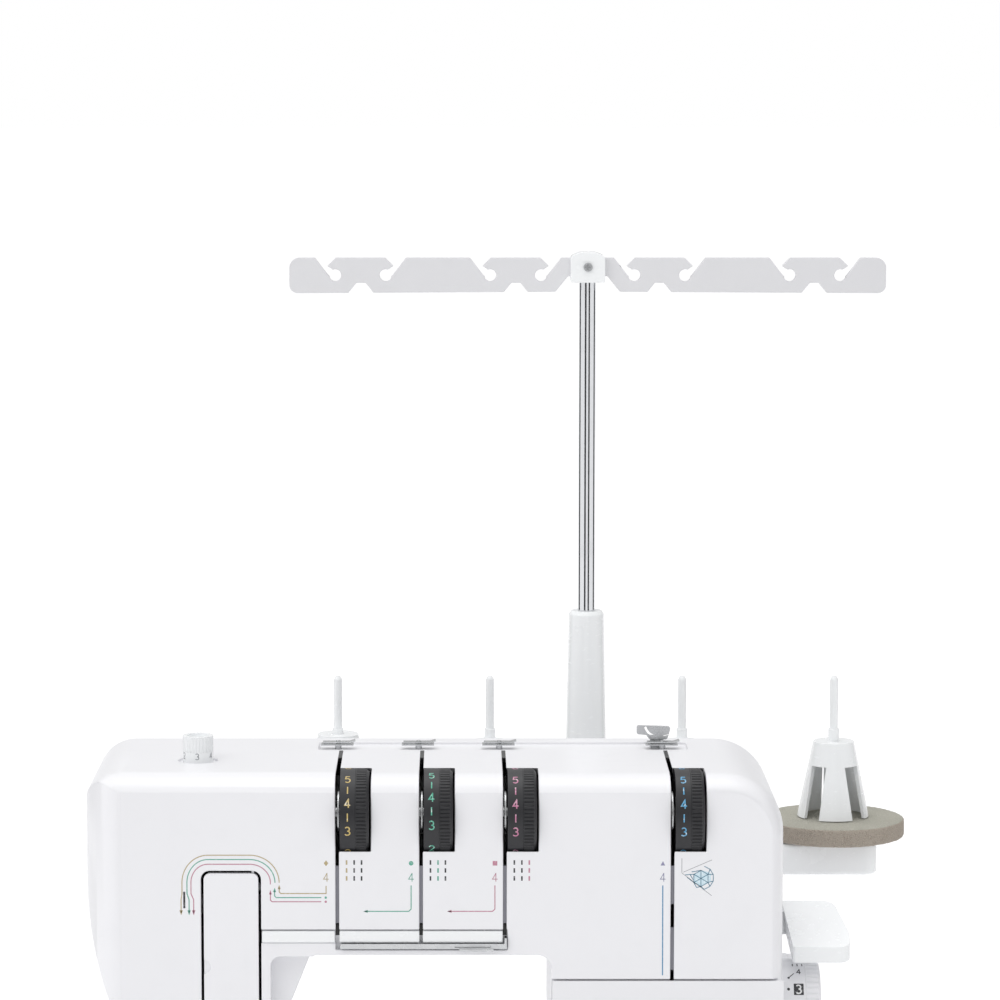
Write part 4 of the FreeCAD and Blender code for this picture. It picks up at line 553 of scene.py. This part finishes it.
def ripple(u, v, seed, waves=26, finest=70):
    """A smooth random field on two angles: a sum of sine waves with seeded frequencies and phases."""
    draw = np.random.default_rng(seed)
    along = draw.integers(1, finest, waves)
    across = draw.integers(0, 9, waves)
    phase = draw.uniform(0, 2 * np.pi, waves)
    size = 1.0 / np.sqrt(1 + along / 14.0)
    field = sum(s * np.sin(a * u + b * v + p) for s, a, b, p in zip(size, along, across, phase))
    return field / np.sqrt((size ** 2).sum() / 2)


HOLE_R, DENT_R, DENT_WIDTH = 3.4 * MM, 15 * MM, 6 * MM
ROUGHNESS = 0.06 * MM


def pad_points(centre, base, height, radius, seed, around=360, across=64):
    """The profile is a superellipse of power 9, so flat faces meet the rim in a small round.

    Its radius runs from HOLE_R to radius and its height from base to base + height; a ripple moves each
    point in and out by up to 0.12 mm, and the top sinks 0.25 mm under the cone.
    """
    turn = np.linspace(0, 2 * np.pi, around, endpoint=False)[:, None]
    loop = np.linspace(0, 2 * np.pi, across, endpoint=False)[None, :]
    c, s = np.cos(loop), np.sin(loop)
    power = 2.0 / 9.0
    flat = np.sign(c) * np.abs(c) ** power
    tall = np.sign(s) * np.abs(s) ** power
    field = ripple(turn, loop, seed)
    rough = np.clip(field, -2.0, 2.0) * ROUGHNESS
    middle, half = (radius + HOLE_R) / 2, (radius - HOLE_R) / 2 - 0.13 * MM
    r = middle + flat * (half + rough)
    z = base + height / 2 + tall * (height / 2 - 0.10 * MM + rough * 0.6)
    under_cone = np.exp(-((r - DENT_R) / DENT_WIDTH) ** 4) * (tall > 0)
    z = z - 0.25 * MM * under_cone
    points = np.stack([centre[0] + r * np.cos(turn), centre[1] + r * np.sin(turn), z + 0 * turn], axis=2)
    return points.reshape(-1, 3), grid_faces(around, across, True, True)


pads = []
for number, cone in enumerate(CONES, start=1):
    cone_low, cone_high = corners_of(cone)
    middle = (cone_low + cone_high) / 2
    top = cone_low[2] - 0.3 * MM
    points, faces = pad_points(middle[:2], pad_low[2], top - pad_low[2], PAD_R, seed=number)
    pad = mesh_piece(f"foam_pad_{number}", points, faces[:, ::-1], foam.material)
    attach(pad, "machine")
    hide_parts("foam_pads")
    pads.append(round((top - pad_low[2]) * 1000, 1))
print("pads:", pads, "mm thick under the cones")

# %% [markdown]
# ## The presser spring
#
# Behind the face cover a coil spring pushes the presser bar down. The CAD holds its space as a sleeve.
# A helix carried round by a small circle is the real thing. The real spring flattens as the bar is lifted;
# this one keeps its length.

# %% A coil spring as a tube along a helix
def coil_points(centre, low, high, radius, wire, turns, around=10, steps=24):
    """Centre line: angle a from 0 to 2 pi turns, height from low + wire to high - wire.

    The wire's section is a circle in the plane of the outward direction and the helix's binormal. The
    first and last turns lie flat, as ground ends do.
    """
    a = np.linspace(0, 2 * np.pi * turns, int(turns * steps))
    share = np.clip((a / (2 * np.pi) - 1) / (turns - 2), 0, 1)
    height = low + wire + (high - low - 2 * wire) * share
    out = np.stack([np.cos(a), np.sin(a), 0 * a], axis=1)
    line = np.array([centre[0], centre[1], 0.0]) + out * radius
    line[:, 2] = height
    along = np.gradient(line, axis=0)
    along /= np.linalg.norm(along, axis=1, keepdims=True)
    side = np.cross(along, out)
    t = np.linspace(0, 2 * np.pi, around, endpoint=False)
    ring = out[:, None] * np.cos(t)[None, :, None] + side[:, None] * np.sin(t)[None, :, None]
    return (line[:, None] + ring * wire).reshape(-1, 3), grid_faces(len(a), around, False, True)


spring_low, spring_high = corners_of("presser_spring")
spring_middle = (spring_low + spring_high) / 2
spring_r = (spring_high[0] - spring_low[0]) / 2
WIRE_R, SPRING_TURNS = 0.65 * MM, 8
points, faces = coil_points(spring_middle[:2], spring_low[2], spring_high[2], spring_r - 0.7 * MM, WIRE_R,
                            SPRING_TURNS)
spring = mesh_piece("presser_spring_coil", points, faces, steel.material)
closing = bmesh.new()
closing.from_mesh(spring.data)
bmesh.ops.holes_fill(closing, edges=[e for e in closing.edges if e.is_boundary])
bmesh.ops.recalc_face_normals(closing, faces=closing.faces)
closing.to_mesh(spring.data)
closing.free()
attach(spring, "machine")
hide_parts("presser_spring")
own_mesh(spring)
print("spring:", len(spring.data.polygons), "faces")

# %% [markdown]
# ## Ink as thin ribbons
#
# Printed lines, digits and arrows are all strokes: a path of points, moved half a width to each side, with
# mitred corners. Text objects would bring a typeface, and don't bend onto a dial. A `lay` function then
# puts the flat drawing (u to the right, v up, in metres) onto a surface, a hair above it.

# %% Strokes into ribbons
INK_LIFT = 0.04 * MM


def dense(path, step=0.35 * MM):
    """The same path with points no further apart than step."""
    path = np.asarray(path, float)
    lengths = np.linalg.norm(np.diff(path, axis=0), axis=1)
    places = np.concatenate([[0], np.cumsum(lengths)])
    count = max(2, int(np.ceil(places[-1] / step)) + 1)
    wanted = np.unique(np.concatenate([np.linspace(0, places[-1], count), places]))
    return np.stack([np.interp(wanted, places, path[:, k]) for k in (0, 1)], axis=1)


def between(left, right):
    """Points and quads between two sides that have as many points as each other."""
    return np.stack([left, right], axis=1).reshape(-1, 2), grid_faces(len(left), 2)


def ribbon(path, width):
    """Quads along a path: each point moves along its mitre by half the width, left and right."""
    path = dense(path)
    ahead = np.diff(path, axis=0)
    ahead /= np.maximum(np.linalg.norm(ahead, axis=1, keepdims=True), 1e-12)
    before = np.concatenate([ahead[:1], ahead])
    after = np.concatenate([ahead, ahead[-1:]])
    mitre = before + after
    mitre /= np.maximum(np.linalg.norm(mitre, axis=1, keepdims=True), 1e-9)
    stretch = 1.0 / np.maximum((mitre * after).sum(axis=1, keepdims=True), 0.5)
    side = np.stack([-mitre[:, 1], mitre[:, 0]], axis=1) * stretch * width / 2
    return between(path - side, path + side)


def filled(corners, rows=6):
    """A filled shape between two sides: corners is (left path, right path) of equal length."""
    return between(*(dense_side(np.asarray(side, float), rows) for side in corners))


def dense_side(side, rows):
    """One side of a filled shape, resampled to rows points at equal shares of its length."""
    lengths = np.concatenate([[0], np.cumsum(np.linalg.norm(np.diff(side, axis=0), axis=1))])
    share = np.linspace(0, lengths[-1], rows)
    return np.stack([np.interp(share, lengths, side[:, k]) for k in (0, 1)], axis=1)


def arc(cx, cy, rx, ry, start, end, count=14):
    """Points on an ellipse from start to end, in degrees."""
    a = np.radians(np.linspace(start, end, count))
    return np.stack([cx + rx * np.cos(a), cy + ry * np.sin(a)], axis=1)


def disc(x, z, r, count):
    """A filled circle between its left and right halves, of count points each."""
    return between(arc(x, z, r, r, 90, 270, count), arc(x, z, r, r, 90, -90, count))


def arrow(tip, size, direction):
    """A filled arrowhead: tip at `tip`, pointing along direction (du, dv)."""
    tip, ahead = np.array(tip, float), np.array(direction, float)
    side = np.array([-ahead[1], ahead[0]])
    back = tip - ahead * size * 1.5
    return filled(([tip, back - side * size * 0.5], [tip, back + side * size * 0.5]), 4)


print("a 10 mm stroke has", len(ribbon([(0.0, 0.0), (10 * MM, 0.0)], MM)[1]), "quads")

# %% [markdown]
# The digits are drawn in a box one unit wide and one and a half high, each from one to three strokes.

# %% Stroke digits
DIGITS = {
    "0": [arc(0.5, 0.75, 0.42, 0.72, 90, 450, 26)],
    "1": [[(0.22, 1.15), (0.55, 1.45), (0.55, 0.03)]],
    "2": [np.concatenate([arc(0.5, 1.05, 0.40, 0.40, 170, -35, 14), [(0.10, 0.05), (0.92, 0.05)]])],
    "3": [arc(0.47, 1.10, 0.36, 0.35, 150, -90, 14), arc(0.47, 0.41, 0.42, 0.37, 90, -150, 16)],
    "4": [[(0.66, 0.02), (0.66, 1.46), (0.08, 0.45), (0.96, 0.45)]],
    "5": [np.concatenate([[(0.84, 1.44), (0.22, 1.44), (0.15, 0.86)],
                          arc(0.46, 0.48, 0.42, 0.44, 118, -140, 16)])],
    "6": [np.concatenate([arc(0.74, 0.62, 0.62, 0.84, 100, 180, 8),
                          arc(0.5, 0.46, 0.38, 0.42, 180, 530, 20)])],
    "7": [[(0.10, 1.44), (0.90, 1.44), (0.40, 0.02)]],
    "8": [arc(0.5, 1.10, 0.33, 0.35, 90, 450, 20), arc(0.5, 0.40, 0.41, 0.37, 90, 450, 22)],
    "9": [np.concatenate([arc(0.5, 1.02, 0.38, 0.42, 0, 350, 20), arc(0.26, 0.86, 0.62, 0.84, 0, -80, 8)])],
    "|": [[(0.5, 0.0), (0.5, 1.5)]],
}


def written(text, centre, height, pen):
    """The strokes of a short text, centred, as a list of (points, faces) in the flat drawing."""
    unit = height / 1.5
    step = unit * 1.35
    drawn = []
    for place, character in enumerate(text):
        left = centre[0] + (place - (len(text) - 1) / 2) * step - unit / 2
        for stroke in DIGITS[character]:
            path = np.asarray(stroke, float) * unit + (left, centre[1] - height / 2)
            drawn.append(ribbon(path, pen))
    return drawn


def printed(name, drawings, lay, material, body):
    """One piece of ink: all its drawings laid on a surface by lay(u, v) -> points."""
    points, faces, count = [], [], 0
    for flat, quads in drawings:
        points.append(lay(flat[:, 0], flat[:, 1]))
        faces.append(quads + count)
        count += len(flat)
    piece = mesh_piece(name, np.concatenate(points), np.concatenate(faces), material)
    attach(piece, body)
    return piece


def on_front(u, v):
    """u is x and v is z, on the casing's front face."""
    return np.stack([u, np.full_like(u, FRONT - INK_LIFT), v], axis=1)


print("strokes for", len(DIGITS), "characters")

# %% [markdown]
# ## The thread path printed on the casing
#
# Three concentric lines lead the needle threads round the face cover, one colour for each thread. They
# end in arrows on the left, break on the right, and start again from arrows to reach the slits. Each
# thread's sign and its suggested dial setting stand beside its slit.

# %% Lines round the face cover
PEN = 0.50 * MM
arch_x = (cover_low[0] + cover_high[0]) / 2
cover_top = cover_high[2]
LINE_NAMES = ("tan", "green", "pink")
# For each line: rise of its top over the cover, half widths of its left and right bends, where its foot
# stands, and how far its right end drops, all in mm.
ARCH = {"tan": (9.4, 13.0, 14.7, -25.0, 0.0), "green": (7.2, 10.5, 12.6, -21.0, 0.0),
        "pink": (4.8, 8.5, 10.3, -18.7, 0.8)}
BEND_Z = cover_top - 4.6 * MM
BEND_X = (arch_x - 11.5 * MM, arch_x + 9.5 * MM)
tail_z = cover_top - 20.0 * MM
for colour in LINE_NAMES:
    rise, left, right, foot, drop = (v * MM for v in ARCH[colour])
    tall = cover_top + rise - BEND_Z
    foot_x = arch_x + foot
    path = np.concatenate([
        [(foot_x, tail_z), (foot_x, cover_top - 13.2 * MM), (BEND_X[0] - left, cover_top - 10.2 * MM)],
        arc(BEND_X[0], BEND_Z, left, tall, 180, 90, 18), arc(BEND_X[1], BEND_Z, right, tall, 90, 3, 18),
        [(BEND_X[1] + right, BEND_Z - drop)]])
    head = arrow((foot_x, tail_z - 1.2 * MM), 1.7 * MM, (0, -1))
    printed(f"thread_line_{colour}", [ribbon(path, PEN), head], on_front, INKS[colour], "machine")
bar_x, bar_z = arch_x - 23.4 * MM, cover_top - 17.6 * MM
bar_side = 0.5 * MM
slot_bar = filled([[(x, bar_z), (x, bar_z + 8.4 * MM)] for x in (bar_x - bar_side, bar_x + bar_side)])
printed("guide_slot_mark", [slot_bar], on_front, INKS["black"], "machine")
print("three lines round the cover, whose top is at z =", round(cover_top * 1000, 1), "mm")

# %% [markdown]
# From arrows beside the cover the lines run on, level, to the foot of the first slit's sign. Only the tan
# one, the first needle's, turns up into it; the other two end in a dot, because their slits come later.

# %% Lines from the face cover to the first slit
end_x = slits[0] - 5.6 * MM
START = {"tan": (24.2, -5.6, -10.1), "green": (21.9, -7.1, -12.2), "pink": (19.8, -8.3, -14.3)}
for colour in LINE_NAMES:
    side, top, level = (v * MM for v in START[colour])
    x0, z0, z1 = arch_x + side, cover_top + top, cover_top + level
    finish_x = end_x if colour == "tan" else end_x - 2.4 * MM
    path = [(x0, z0 - 1.6 * MM), (x0, z1 + 0.8 * MM), (x0 + 0.8 * MM, z1), (finish_x, z1)]
    drawings = [arrow((x0, z0), 1.5 * MM, (0, 1))]
    if colour == "tan":
        path.append((end_x, z1 + 3.9 * MM))
    else:
        drawings.append(disc(end_x - 0.2 * MM, z1, 0.6 * MM, 8))
    printed(f"thread_feed_{colour}", drawings + [ribbon(path, PEN)], on_front, INKS[colour], "machine")
print("thread lines printed")

# %% [markdown]
# A sign has a left and a right side of equal length, and `filled` spans them with quads. Diamond, circle,
# square and triangle stand for the three needles and the looper.

# %% Signs and suggested settings beside the slits
SIGN_Z = cover_top + 5.3 * MM
NUMBER_Z = cover_top - 1.9 * MM
LINE_TOP, LINE_LOW = cover_top - 6.0 * MM, cover_top - 19.2 * MM
sign_x = [slits[0] - 5.6 * MM, slits[1] - 5.0 * MM, slits[2] - 5.0 * MM, slits[3] - 4.9 * MM]


def sign(shape, x, z, r):
    """A small filled sign: diamond, circle, square or triangle, between a left and a right side."""
    if shape == "circle":
        return disc(x, z, r, 12)
    tall = r * 1.3
    side = {"diamond": lambda out: [(x, z + tall), (x + out, z), (x, z - tall)],
            "square": lambda out: [(x + out, z + r), (x + out, z - r)],
            "triangle": lambda out: [(x, z + r), (x + out, z - r)]}[shape]
    return filled((side(-r), side(r)), 7)


SIGNS = (("diamond", "tan"), ("circle", "green"), ("square", "pink"), ("triangle", "violet"))
for (shape, colour), x in zip(SIGNS, sign_x):
    drawings = [sign(shape, x, SIGN_Z, 1.15 * MM)] + written("4", (x, NUMBER_Z), 4.4 * MM, 0.38 * MM)
    if shape in ("circle", "square"):
        reach = x - 23.4 * MM
        path = [(x, LINE_TOP), (x, LINE_LOW + 1.2 * MM), (x - 1.2 * MM, LINE_LOW), (reach, LINE_LOW)]
        drawings += [ribbon(path, PEN), arrow((reach - 0.6 * MM, LINE_LOW), 1.5 * MM, (-1, 0))]
    printed(f"thread_sign_{shape}", drawings, on_front, INKS[colour], "machine")
blue_low = corners_of("looper_cover")[1][2] + 3.0 * MM
printed("looper_thread_line", [ribbon([(sign_x[3], LINE_TOP), (sign_x[3] + 0.1 * MM, blue_low)], 0.6 * MM)],
        on_front, INKS["blue"], "machine")
print(len(SIGNS), "signs printed")

# %% [markdown]
# Under each needle dial, three columns of short dashes show which needle's seam it belongs to: the
# column of that needle is in its colour. Under the looper's dial there is a little lattice, the net of
# thread on the back of the seam.

# %% Needle seams and the looper's net
DASH, DASH_GAP = 2.3 * MM, 4.05 * MM
SEAM_X = (4.7 * MM, 8.5 * MM, 12.2 * MM)
for number, colour in enumerate(LINE_NAMES):
    for column, offset in enumerate(SEAM_X):
        x = slits[number] + offset
        rows = [SIGN_Z + 0.4 * MM - k * DASH_GAP for k in (0, 1, 2)]
        dashes = [ribbon([(x, z - DASH / 2), (x, z + DASH / 2)], 0.8 * MM) for z in rows]
        shade = INKS[colour] if column == number else INKS["black"]
        printed(f"seam_{number + 1}_{column + 1}", dashes, on_front, shade, "machine")

net_x, net_z = slits[3] + 4.6 * MM, SIGN_Z - 4.9 * MM
fabric_edge = [[(net_x, net_z + 7.4 * MM), (net_x, net_z)],
               [(net_x + 0.8 * MM, net_z + 0.4 * MM), (net_x + 15.0 * MM, net_z + 6.6 * MM)],
               [(net_x, net_z), (net_x + 15.0 * MM, net_z - 11.6 * MM)]]
fabric_strokes = [ribbon(path, 0.26 * MM) for path in fabric_edge]
printed("net_fabric_edges", fabric_strokes, on_front, INKS["grey"], "machine")
star = np.array([9.6, -2.8])
hexagon = arc(star[0], star[1], 4.1, 4.1, 30, 390, 7)
outer = arc(star[0] + 0.4, star[1] + 0.3, 6.0, 6.0, -78, 78, 6)
net_paths = [hexagon, outer] + [np.array([star, corner]) for corner in hexagon[:6]]
net_paths += [np.array([hexagon[k], outer[m]]) for k, m in ((0, 4), (0, 3), (5, 2), (5, 1), (4, 0))]
LOOSE_THREADS = (((1.6, -1.0), (6.0, -0.7)), ((2.6, -2.2), (6.0, -4.8)), ((4.2, -0.9), (5.8, -3.6)),
                 ((4.9, 0.5), (9.6, 1.3)), ((6.0, -4.8), (7.4, -7.4), (9.6, -6.9)))
net_paths += [np.array(path) for path in LOOSE_THREADS]
net = [ribbon(path * MM + (net_x, net_z), 0.40 * MM) for path in net_paths]
tint_left = np.array([(9.6, 1.4), (6.0, -0.6), (6.0, -4.8), (9.6, -7.0)]) * MM + (net_x, net_z)
tint_right = np.array([(9.6, 1.4), (14.6, 0.0), (14.6, -4.6), (9.6, -7.0)]) * MM + (net_x, net_z)
printed("looper_net_tint", [filled((tint_left, tint_right), 12)],
        lambda u, v: on_front(u, v) + (0.0, 0.02 * MM, 0.0), INKS["pale_blue"], "machine")
printed("looper_net", net, on_front, INKS["steel_blue"], "machine")
print("seams and net printed")

# %% [markdown]
# ## Numbers on the dials
#
# A thumb dial shows its setting by digits on its smooth rim, with ticks over the usual range, 3 to 5. The
# flat drawing wraps onto the rim: u stays along the spindle, and v becomes an angle. Each digit stands
# upright when it faces the operator.

# %% Wrap a drawing onto a rim that turns about X
def rim_about_x(centre, radius, x0):
    """Flat (u, v) to a rim: x = x0 + u, and v / radius is the angle up from the front."""
    def lay(u, v):
        angle = v / radius
        out = radius + INK_LIFT
        return np.stack([x0 + u, centre[1] - out * np.cos(angle), centre[2] + out * np.sin(angle)], axis=1)
    return lay


DIAL_PITCH = math.radians(36.0)
DIAL_TURN = [math.radians(a) for a in (23.0, 31.0, 22.0, 22.0)]
DIAL_INKS = ("dial_gold", "dial_green", "dial_pink", "dial_blue")
for k, (name, box) in enumerate(zip(DIALS, dial_boxes)):
    radius = (box[1][2] - box[0][2]) / 2
    centre = box.mean(axis=0)
    drawings = []
    for digit in range(10):
        angle = DIAL_TURN[k] + (digit - 4) * DIAL_PITCH
        drawings += written(str(digit), (0.0, angle * radius), 4.6 * MM, 0.62 * MM)
        if digit in (3, 4):
            drawings += written("|", (0.0, (angle + DIAL_PITCH / 2) * radius), 4.1 * MM, 0.60 * MM)
    printed(f"dial_numbers_{k + 1}", drawings, rim_about_x(centre, radius, box[0][0] + 3.9 * MM),
            INKS[DIAL_INKS[k]], f"dial_{k + 1}")
print("dial numbers wrapped at radius", round(radius * 1000, 1), "mm")

# %% [markdown]
# The stitch dial on the right stands at 3, and that number is white on a black patch. The patch is a filled
# shape on the rim, and the white digit lies a hair above it.

# %% Stitch dial and feed dial
stitch = corners_of("stitch_dial")
stitch_r = (stitch[1][2] - stitch[0][2]) / 2
stitch_rim = rim_about_x(stitch.mean(axis=0), stitch_r, BODY_RIGHT + 9.5 * MM)
drawings = []
for digit, degrees in ((1, -24.0), (2, 3.0)):
    v = math.radians(degrees) * stitch_r
    drawings += written(str(digit), (0.0, v), 4.6 * MM, 0.8 * MM)
    drawings.append(sign("circle", -5.2 * MM, v, 0.75 * MM))
v3, v4 = (math.radians(degrees) * stitch_r for degrees in (30.0, 57.0))
patch = filled([[(side, v3 + 3.0 * MM), (side, v3 - 3.0 * MM)] for side in (-2.5 * MM, 2.5 * MM)], 14)
drawings += [patch, sign("circle", -5.2 * MM, v3, 0.75 * MM)]
drawings.append(sign("circle", -4.9 * MM, v4 - 4.0 * MM, 0.6 * MM))
drawings.append(ribbon([(-4.9 * MM, v4 - 4.0 * MM), (-2.0 * MM, v4 - 1.2 * MM)], 0.4 * MM))
printed("stitch_dial_numbers", drawings, stitch_rim, INKS["black"], "stitch_setting")
over_patch = rim_about_x(stitch.mean(axis=0), stitch_r + 0.03 * MM, BODY_RIGHT + 9.5 * MM)
three = written("3", (0.0, v3), 4.6 * MM, 0.8 * MM)
printed("stitch_dial_3", three, over_patch, INKS["white"], "stitch_setting")
ticks = [ribbon([(u * MM, v4 + 4.2 * MM), (u * MM, v4 + 6.4 * MM)], 0.5 * MM) for u in (-2.4, 0.0, 2.4)]
printed("stitch_dial_4", written("4", (0.4 * MM, v4), 3.4 * MM, 0.5 * MM) + ticks, stitch_rim, INKS["black"],
        "stitch_setting")
feed = corners_of("feed_dial")
feed_r = (feed[1][2] - feed[0][2]) / 2
drawings = []
for digit, degrees in ((1, -60.0), (2, -20.0), (3, 20.0), (4, 60.0)):
    drawings += written(str(digit), (0.0, math.radians(degrees) * feed_r), 3.6 * MM, 0.5 * MM)
printed("feed_dial_numbers", drawings, rim_about_x(feed.mean(axis=0), feed_r, BODY_RIGHT + 5.0 * MM),
        INKS["grey"], "feed_setting")
print("side dials numbered, at radius", round(stitch_r * 1000, 1), "and", round(feed_r * 1000, 1), "mm")

# %% [markdown]
# The pressure knob turns about a vertical axis, so its digits go round level. The tree's plate carries
# thread numbers 1 and 2, which are moulded, so those are solid strokes set into the plate, coloured dark
# grey as painted shade for the shadows of their relief.

# %% Knob and tree plate
knob = corners_of("pressure_knob")
knob_centre, knob_r = knob.mean(axis=0), (knob[1][0] - knob[0][0]) / 2


def round_knob(u, v):
    """v is height and u / radius is the angle round the knob from the front."""
    angle = u / knob_r
    out = knob_r + INK_LIFT
    return np.stack([knob_centre[0] + out * np.sin(angle), knob_centre[1] - out * np.cos(angle), v], axis=1)


drawings = []
for digit in range(1, 7):
    round_the_rim = math.radians((digit - 3) * 60.0) * knob_r
    drawings += written(str(digit), (round_the_rim, TOP + 3.0 * MM), 3.2 * MM, 0.42 * MM)
printed("pressure_knob_numbers", drawings, round_knob, INKS["grey"], "pressure_screw")

plate = corners_of("tree_plate")
plate_x, plate_front = plate.mean(axis=0)[0], plate[0][1]
PLATE_DIGITS = ((-147.0, "1"), (-116.0, "2"), (-64.0, "1"), (-32.0, "2"),
                (16.5, "2"), (46.0, "1"), (100.0, "2"), (130.0, "1"))


def on_plate(u, v):
    """u is x and v is z, on a plane just behind the plate's front."""
    return np.stack([u, np.full_like(u, plate_front + 0.02 * MM), v], axis=1)


drawings = []
for offset, digit in PLATE_DIGITS:
    drawings += written(digit, (plate_x + offset * MM, plate[1][2] - 6.4 * MM), 4.6 * MM, 0.85 * MM)
# the digits' dark grey is painted shade for their moulded relief
plate_digits = printed("tree_plate_numbers", drawings, on_plate, digit_painted_shade.material, "tree_head")
solid = plate_digits.modifiers.new("stroke_height", "SOLIDIFY")
solid.thickness, solid.offset = 0.35 * MM, 1.0
print("moulded digits:", len(plate_digits.data.polygons), "faces")

# %% [markdown]
# ## Floor, light and camera
#
# The machine stands on a pale seamless floor. White plastic on a white floor is easily lost: the floor
# throws light up at it until nothing has a shade. So the paper is a mid grey that gives off a little light
# of its own, which looks white and throws back no more than the surround does.

# %% Floor
def pale_floor():
    """Grey paper with a little light of its own, so that it melts into the surround."""
    finish = Finish("pale_floor", (0.56, 0.56, 0.565), 0.7, **{"Emission Color": (1.0, 1.0, 1.0, 1.0),
                                                              "Emission Strength": 0.50})
    finish.feed("Roughness", finish.noise(3.0) * 0.08 + 0.66)
    return finish


SPAN = 30.0
corners = np.array([(-SPAN, -SPAN, 0.0), (SPAN, -SPAN, 0.0), (SPAN, SPAN, 0.0), (-SPAN, SPAN, 0.0)])
floor = mesh_piece("studio_floor", corners, np.array([[0, 1, 2, 3]]), pale_floor().material, smooth=False)
print("floor:", 2 * SPAN, "m across")

# %% [markdown]
# The surround does most of the lighting. It is brightest overhead, so tops are whiter than fronts, and
# weaker to the right, so the form turns. Rays that go straight from the camera to it see plain white.

# %% Surround
world = bpy.data.worlds.new("studio")
bpy.context.scene.world = world
world.use_nodes = True
surround = world.node_tree
join = surround.links.new
seen, lit = surround.nodes["Background"], surround.nodes.new("ShaderNodeBackground")
for background in (seen, lit):
    background.inputs["Color"].default_value = (1.0, 1.0, 1.0, 1.0)
seen.inputs["Strength"].default_value = 1.0
towards = surround.nodes.new("ShaderNodeTexCoord")
axes = surround.nodes.new("ShaderNodeSeparateXYZ")
join(towards.outputs["Generated"], axes.inputs[0])


def band(source, low, high, first, last):
    """A smooth step of one number of the direction: first below low, last above high."""
    step = surround.nodes.new("ShaderNodeMapRange")
    step.interpolation_type = "SMOOTHSTEP"
    for key, value in enumerate((low, high, first, last), start=1):
        step.inputs[key].default_value = value
    join(source, step.inputs[0])
    return step.outputs[0]


def product(first, second):
    """Two numbers of the direction, multiplied."""
    times = surround.nodes.new("ShaderNodeMath")
    times.operation = "MULTIPLY"
    join(first, times.inputs[0])
    join(second, times.inputs[1])
    return times.outputs[0]


level = band(axes.outputs[2], 0.05, 0.9, 0.50, 1.08)
level = product(level, band(axes.outputs[0], -0.5, 0.95, 1.08, 0.80))
join(level, lit.inputs["Strength"])
kind = surround.nodes.new("ShaderNodeLightPath")
either = surround.nodes.new("ShaderNodeMixShader")
join(kind.outputs["Is Camera Ray"], either.inputs[0])
join(lit.outputs[0], either.inputs[1])
join(seen.outputs[0], either.inputs[2])
join(either.outputs[0], surround.nodes["World Output"].inputs["Surface"])
print("surround: brighter above and to the left")

# %% [markdown]
# Two softboxes add what a surround can't: a large key from the upper left gives soft highlights on rolled
# edges, and a broad box overhead lifts the tops. A bigger box gives a softer shadow.

# %% Lamps
def softbox(name, place, target, size, power):
    """A square area light that faces its target."""
    light = bpy.data.lights.new(name, "AREA")
    light.shape, light.size, light.energy = "SQUARE", size, power
    lamp = placed(name, light)
    away = np.array(place) - np.array(target)
    lamp.location = place
    lamp.rotation_euler = (math.atan2(math.hypot(away[0], away[1]), away[2]), 0.0,
                           math.atan2(away[0], -away[1]))


middle_of_machine = (0.0, 0.0, 0.22)
softbox("key_light", (-1.3, -1.5, 1.7), middle_of_machine, 1.1, 6.0)
softbox("top_light", (0.1, 0.2, 2.1), middle_of_machine, 1.4, 8.0)
print("two softboxes")

# %% [markdown]
# A chrome rod shows what stands around it, so black flags are put beside it to draw dark lines down it. A
# cylinder doubles the angle of each step across its face, so two flags near the viewer's side make the two
# middle lines, and two at the sides make the dark edges. They are seen by reflections only.

# %% Flags for the chrome rod
FLAG_DISTANCE, FLAG_HEIGHTS = 1.2, (0.0, 0.8)
FLAG_AZIMUTHS = ((-37, -14), (14, 35), (98, 128), (-138, -106))


def flag_points(middle, azimuths, radius, heights, across=9):
    """A strip of a cylinder about the rod: at angle a from the front, middle + radius (sin a, -cos a)."""
    a = np.radians(np.linspace(azimuths[0], azimuths[1], across))[None, :]
    z = np.array(heights)[:, None]
    x, y = middle[0] + radius * np.sin(a) + 0 * z, middle[1] - radius * np.cos(a) + 0 * z
    return np.stack([x, y, z + 0 * a], axis=2).reshape(-1, 3), grid_faces(len(heights), across)


rod_middle = corners_of("tree_rod").mean(axis=0)
flag_cloth = moulded("flag_cloth", (0.03, 0.03, 0.033), 0.9)
for number, azimuths in enumerate(FLAG_AZIMUTHS, start=1):
    points, faces = flag_points(rod_middle, azimuths, FLAG_DISTANCE, FLAG_HEIGHTS)
    flag = mesh_piece(f"studio_flag_{number}", points, faces, flag_cloth.material)
    flag.visible_camera = flag.visible_diffuse = flag.visible_shadow = flag.visible_transmission = False
print("flags stand", FLAG_DISTANCE, "m from the rod")

# %% [markdown]
# The camera stands 2 m off with a long lens, looking slightly down, as a catalogue picture is taken, so
# level edges stay nearly parallel. A little shift frames the machine without turning the camera.

# %% Camera
bpy.context.scene.view_settings.view_transform = "Standard"
camera_data = bpy.data.cameras.new("product_view")
camera_data.lens = 144.0
camera_data.sensor_width = 36.0
camera_data.shift_x = 0.043
camera_data.clip_end = 100.0
camera = placed("product_view", camera_data)
camera.location = (-0.028, -2.068, 0.6075)
camera.rotation_euler = (math.radians(90.0 - 6.4), 0.0, 0.0)
bpy.context.scene.camera = camera
print("camera", round(-camera.location.y, 2), "m in front")
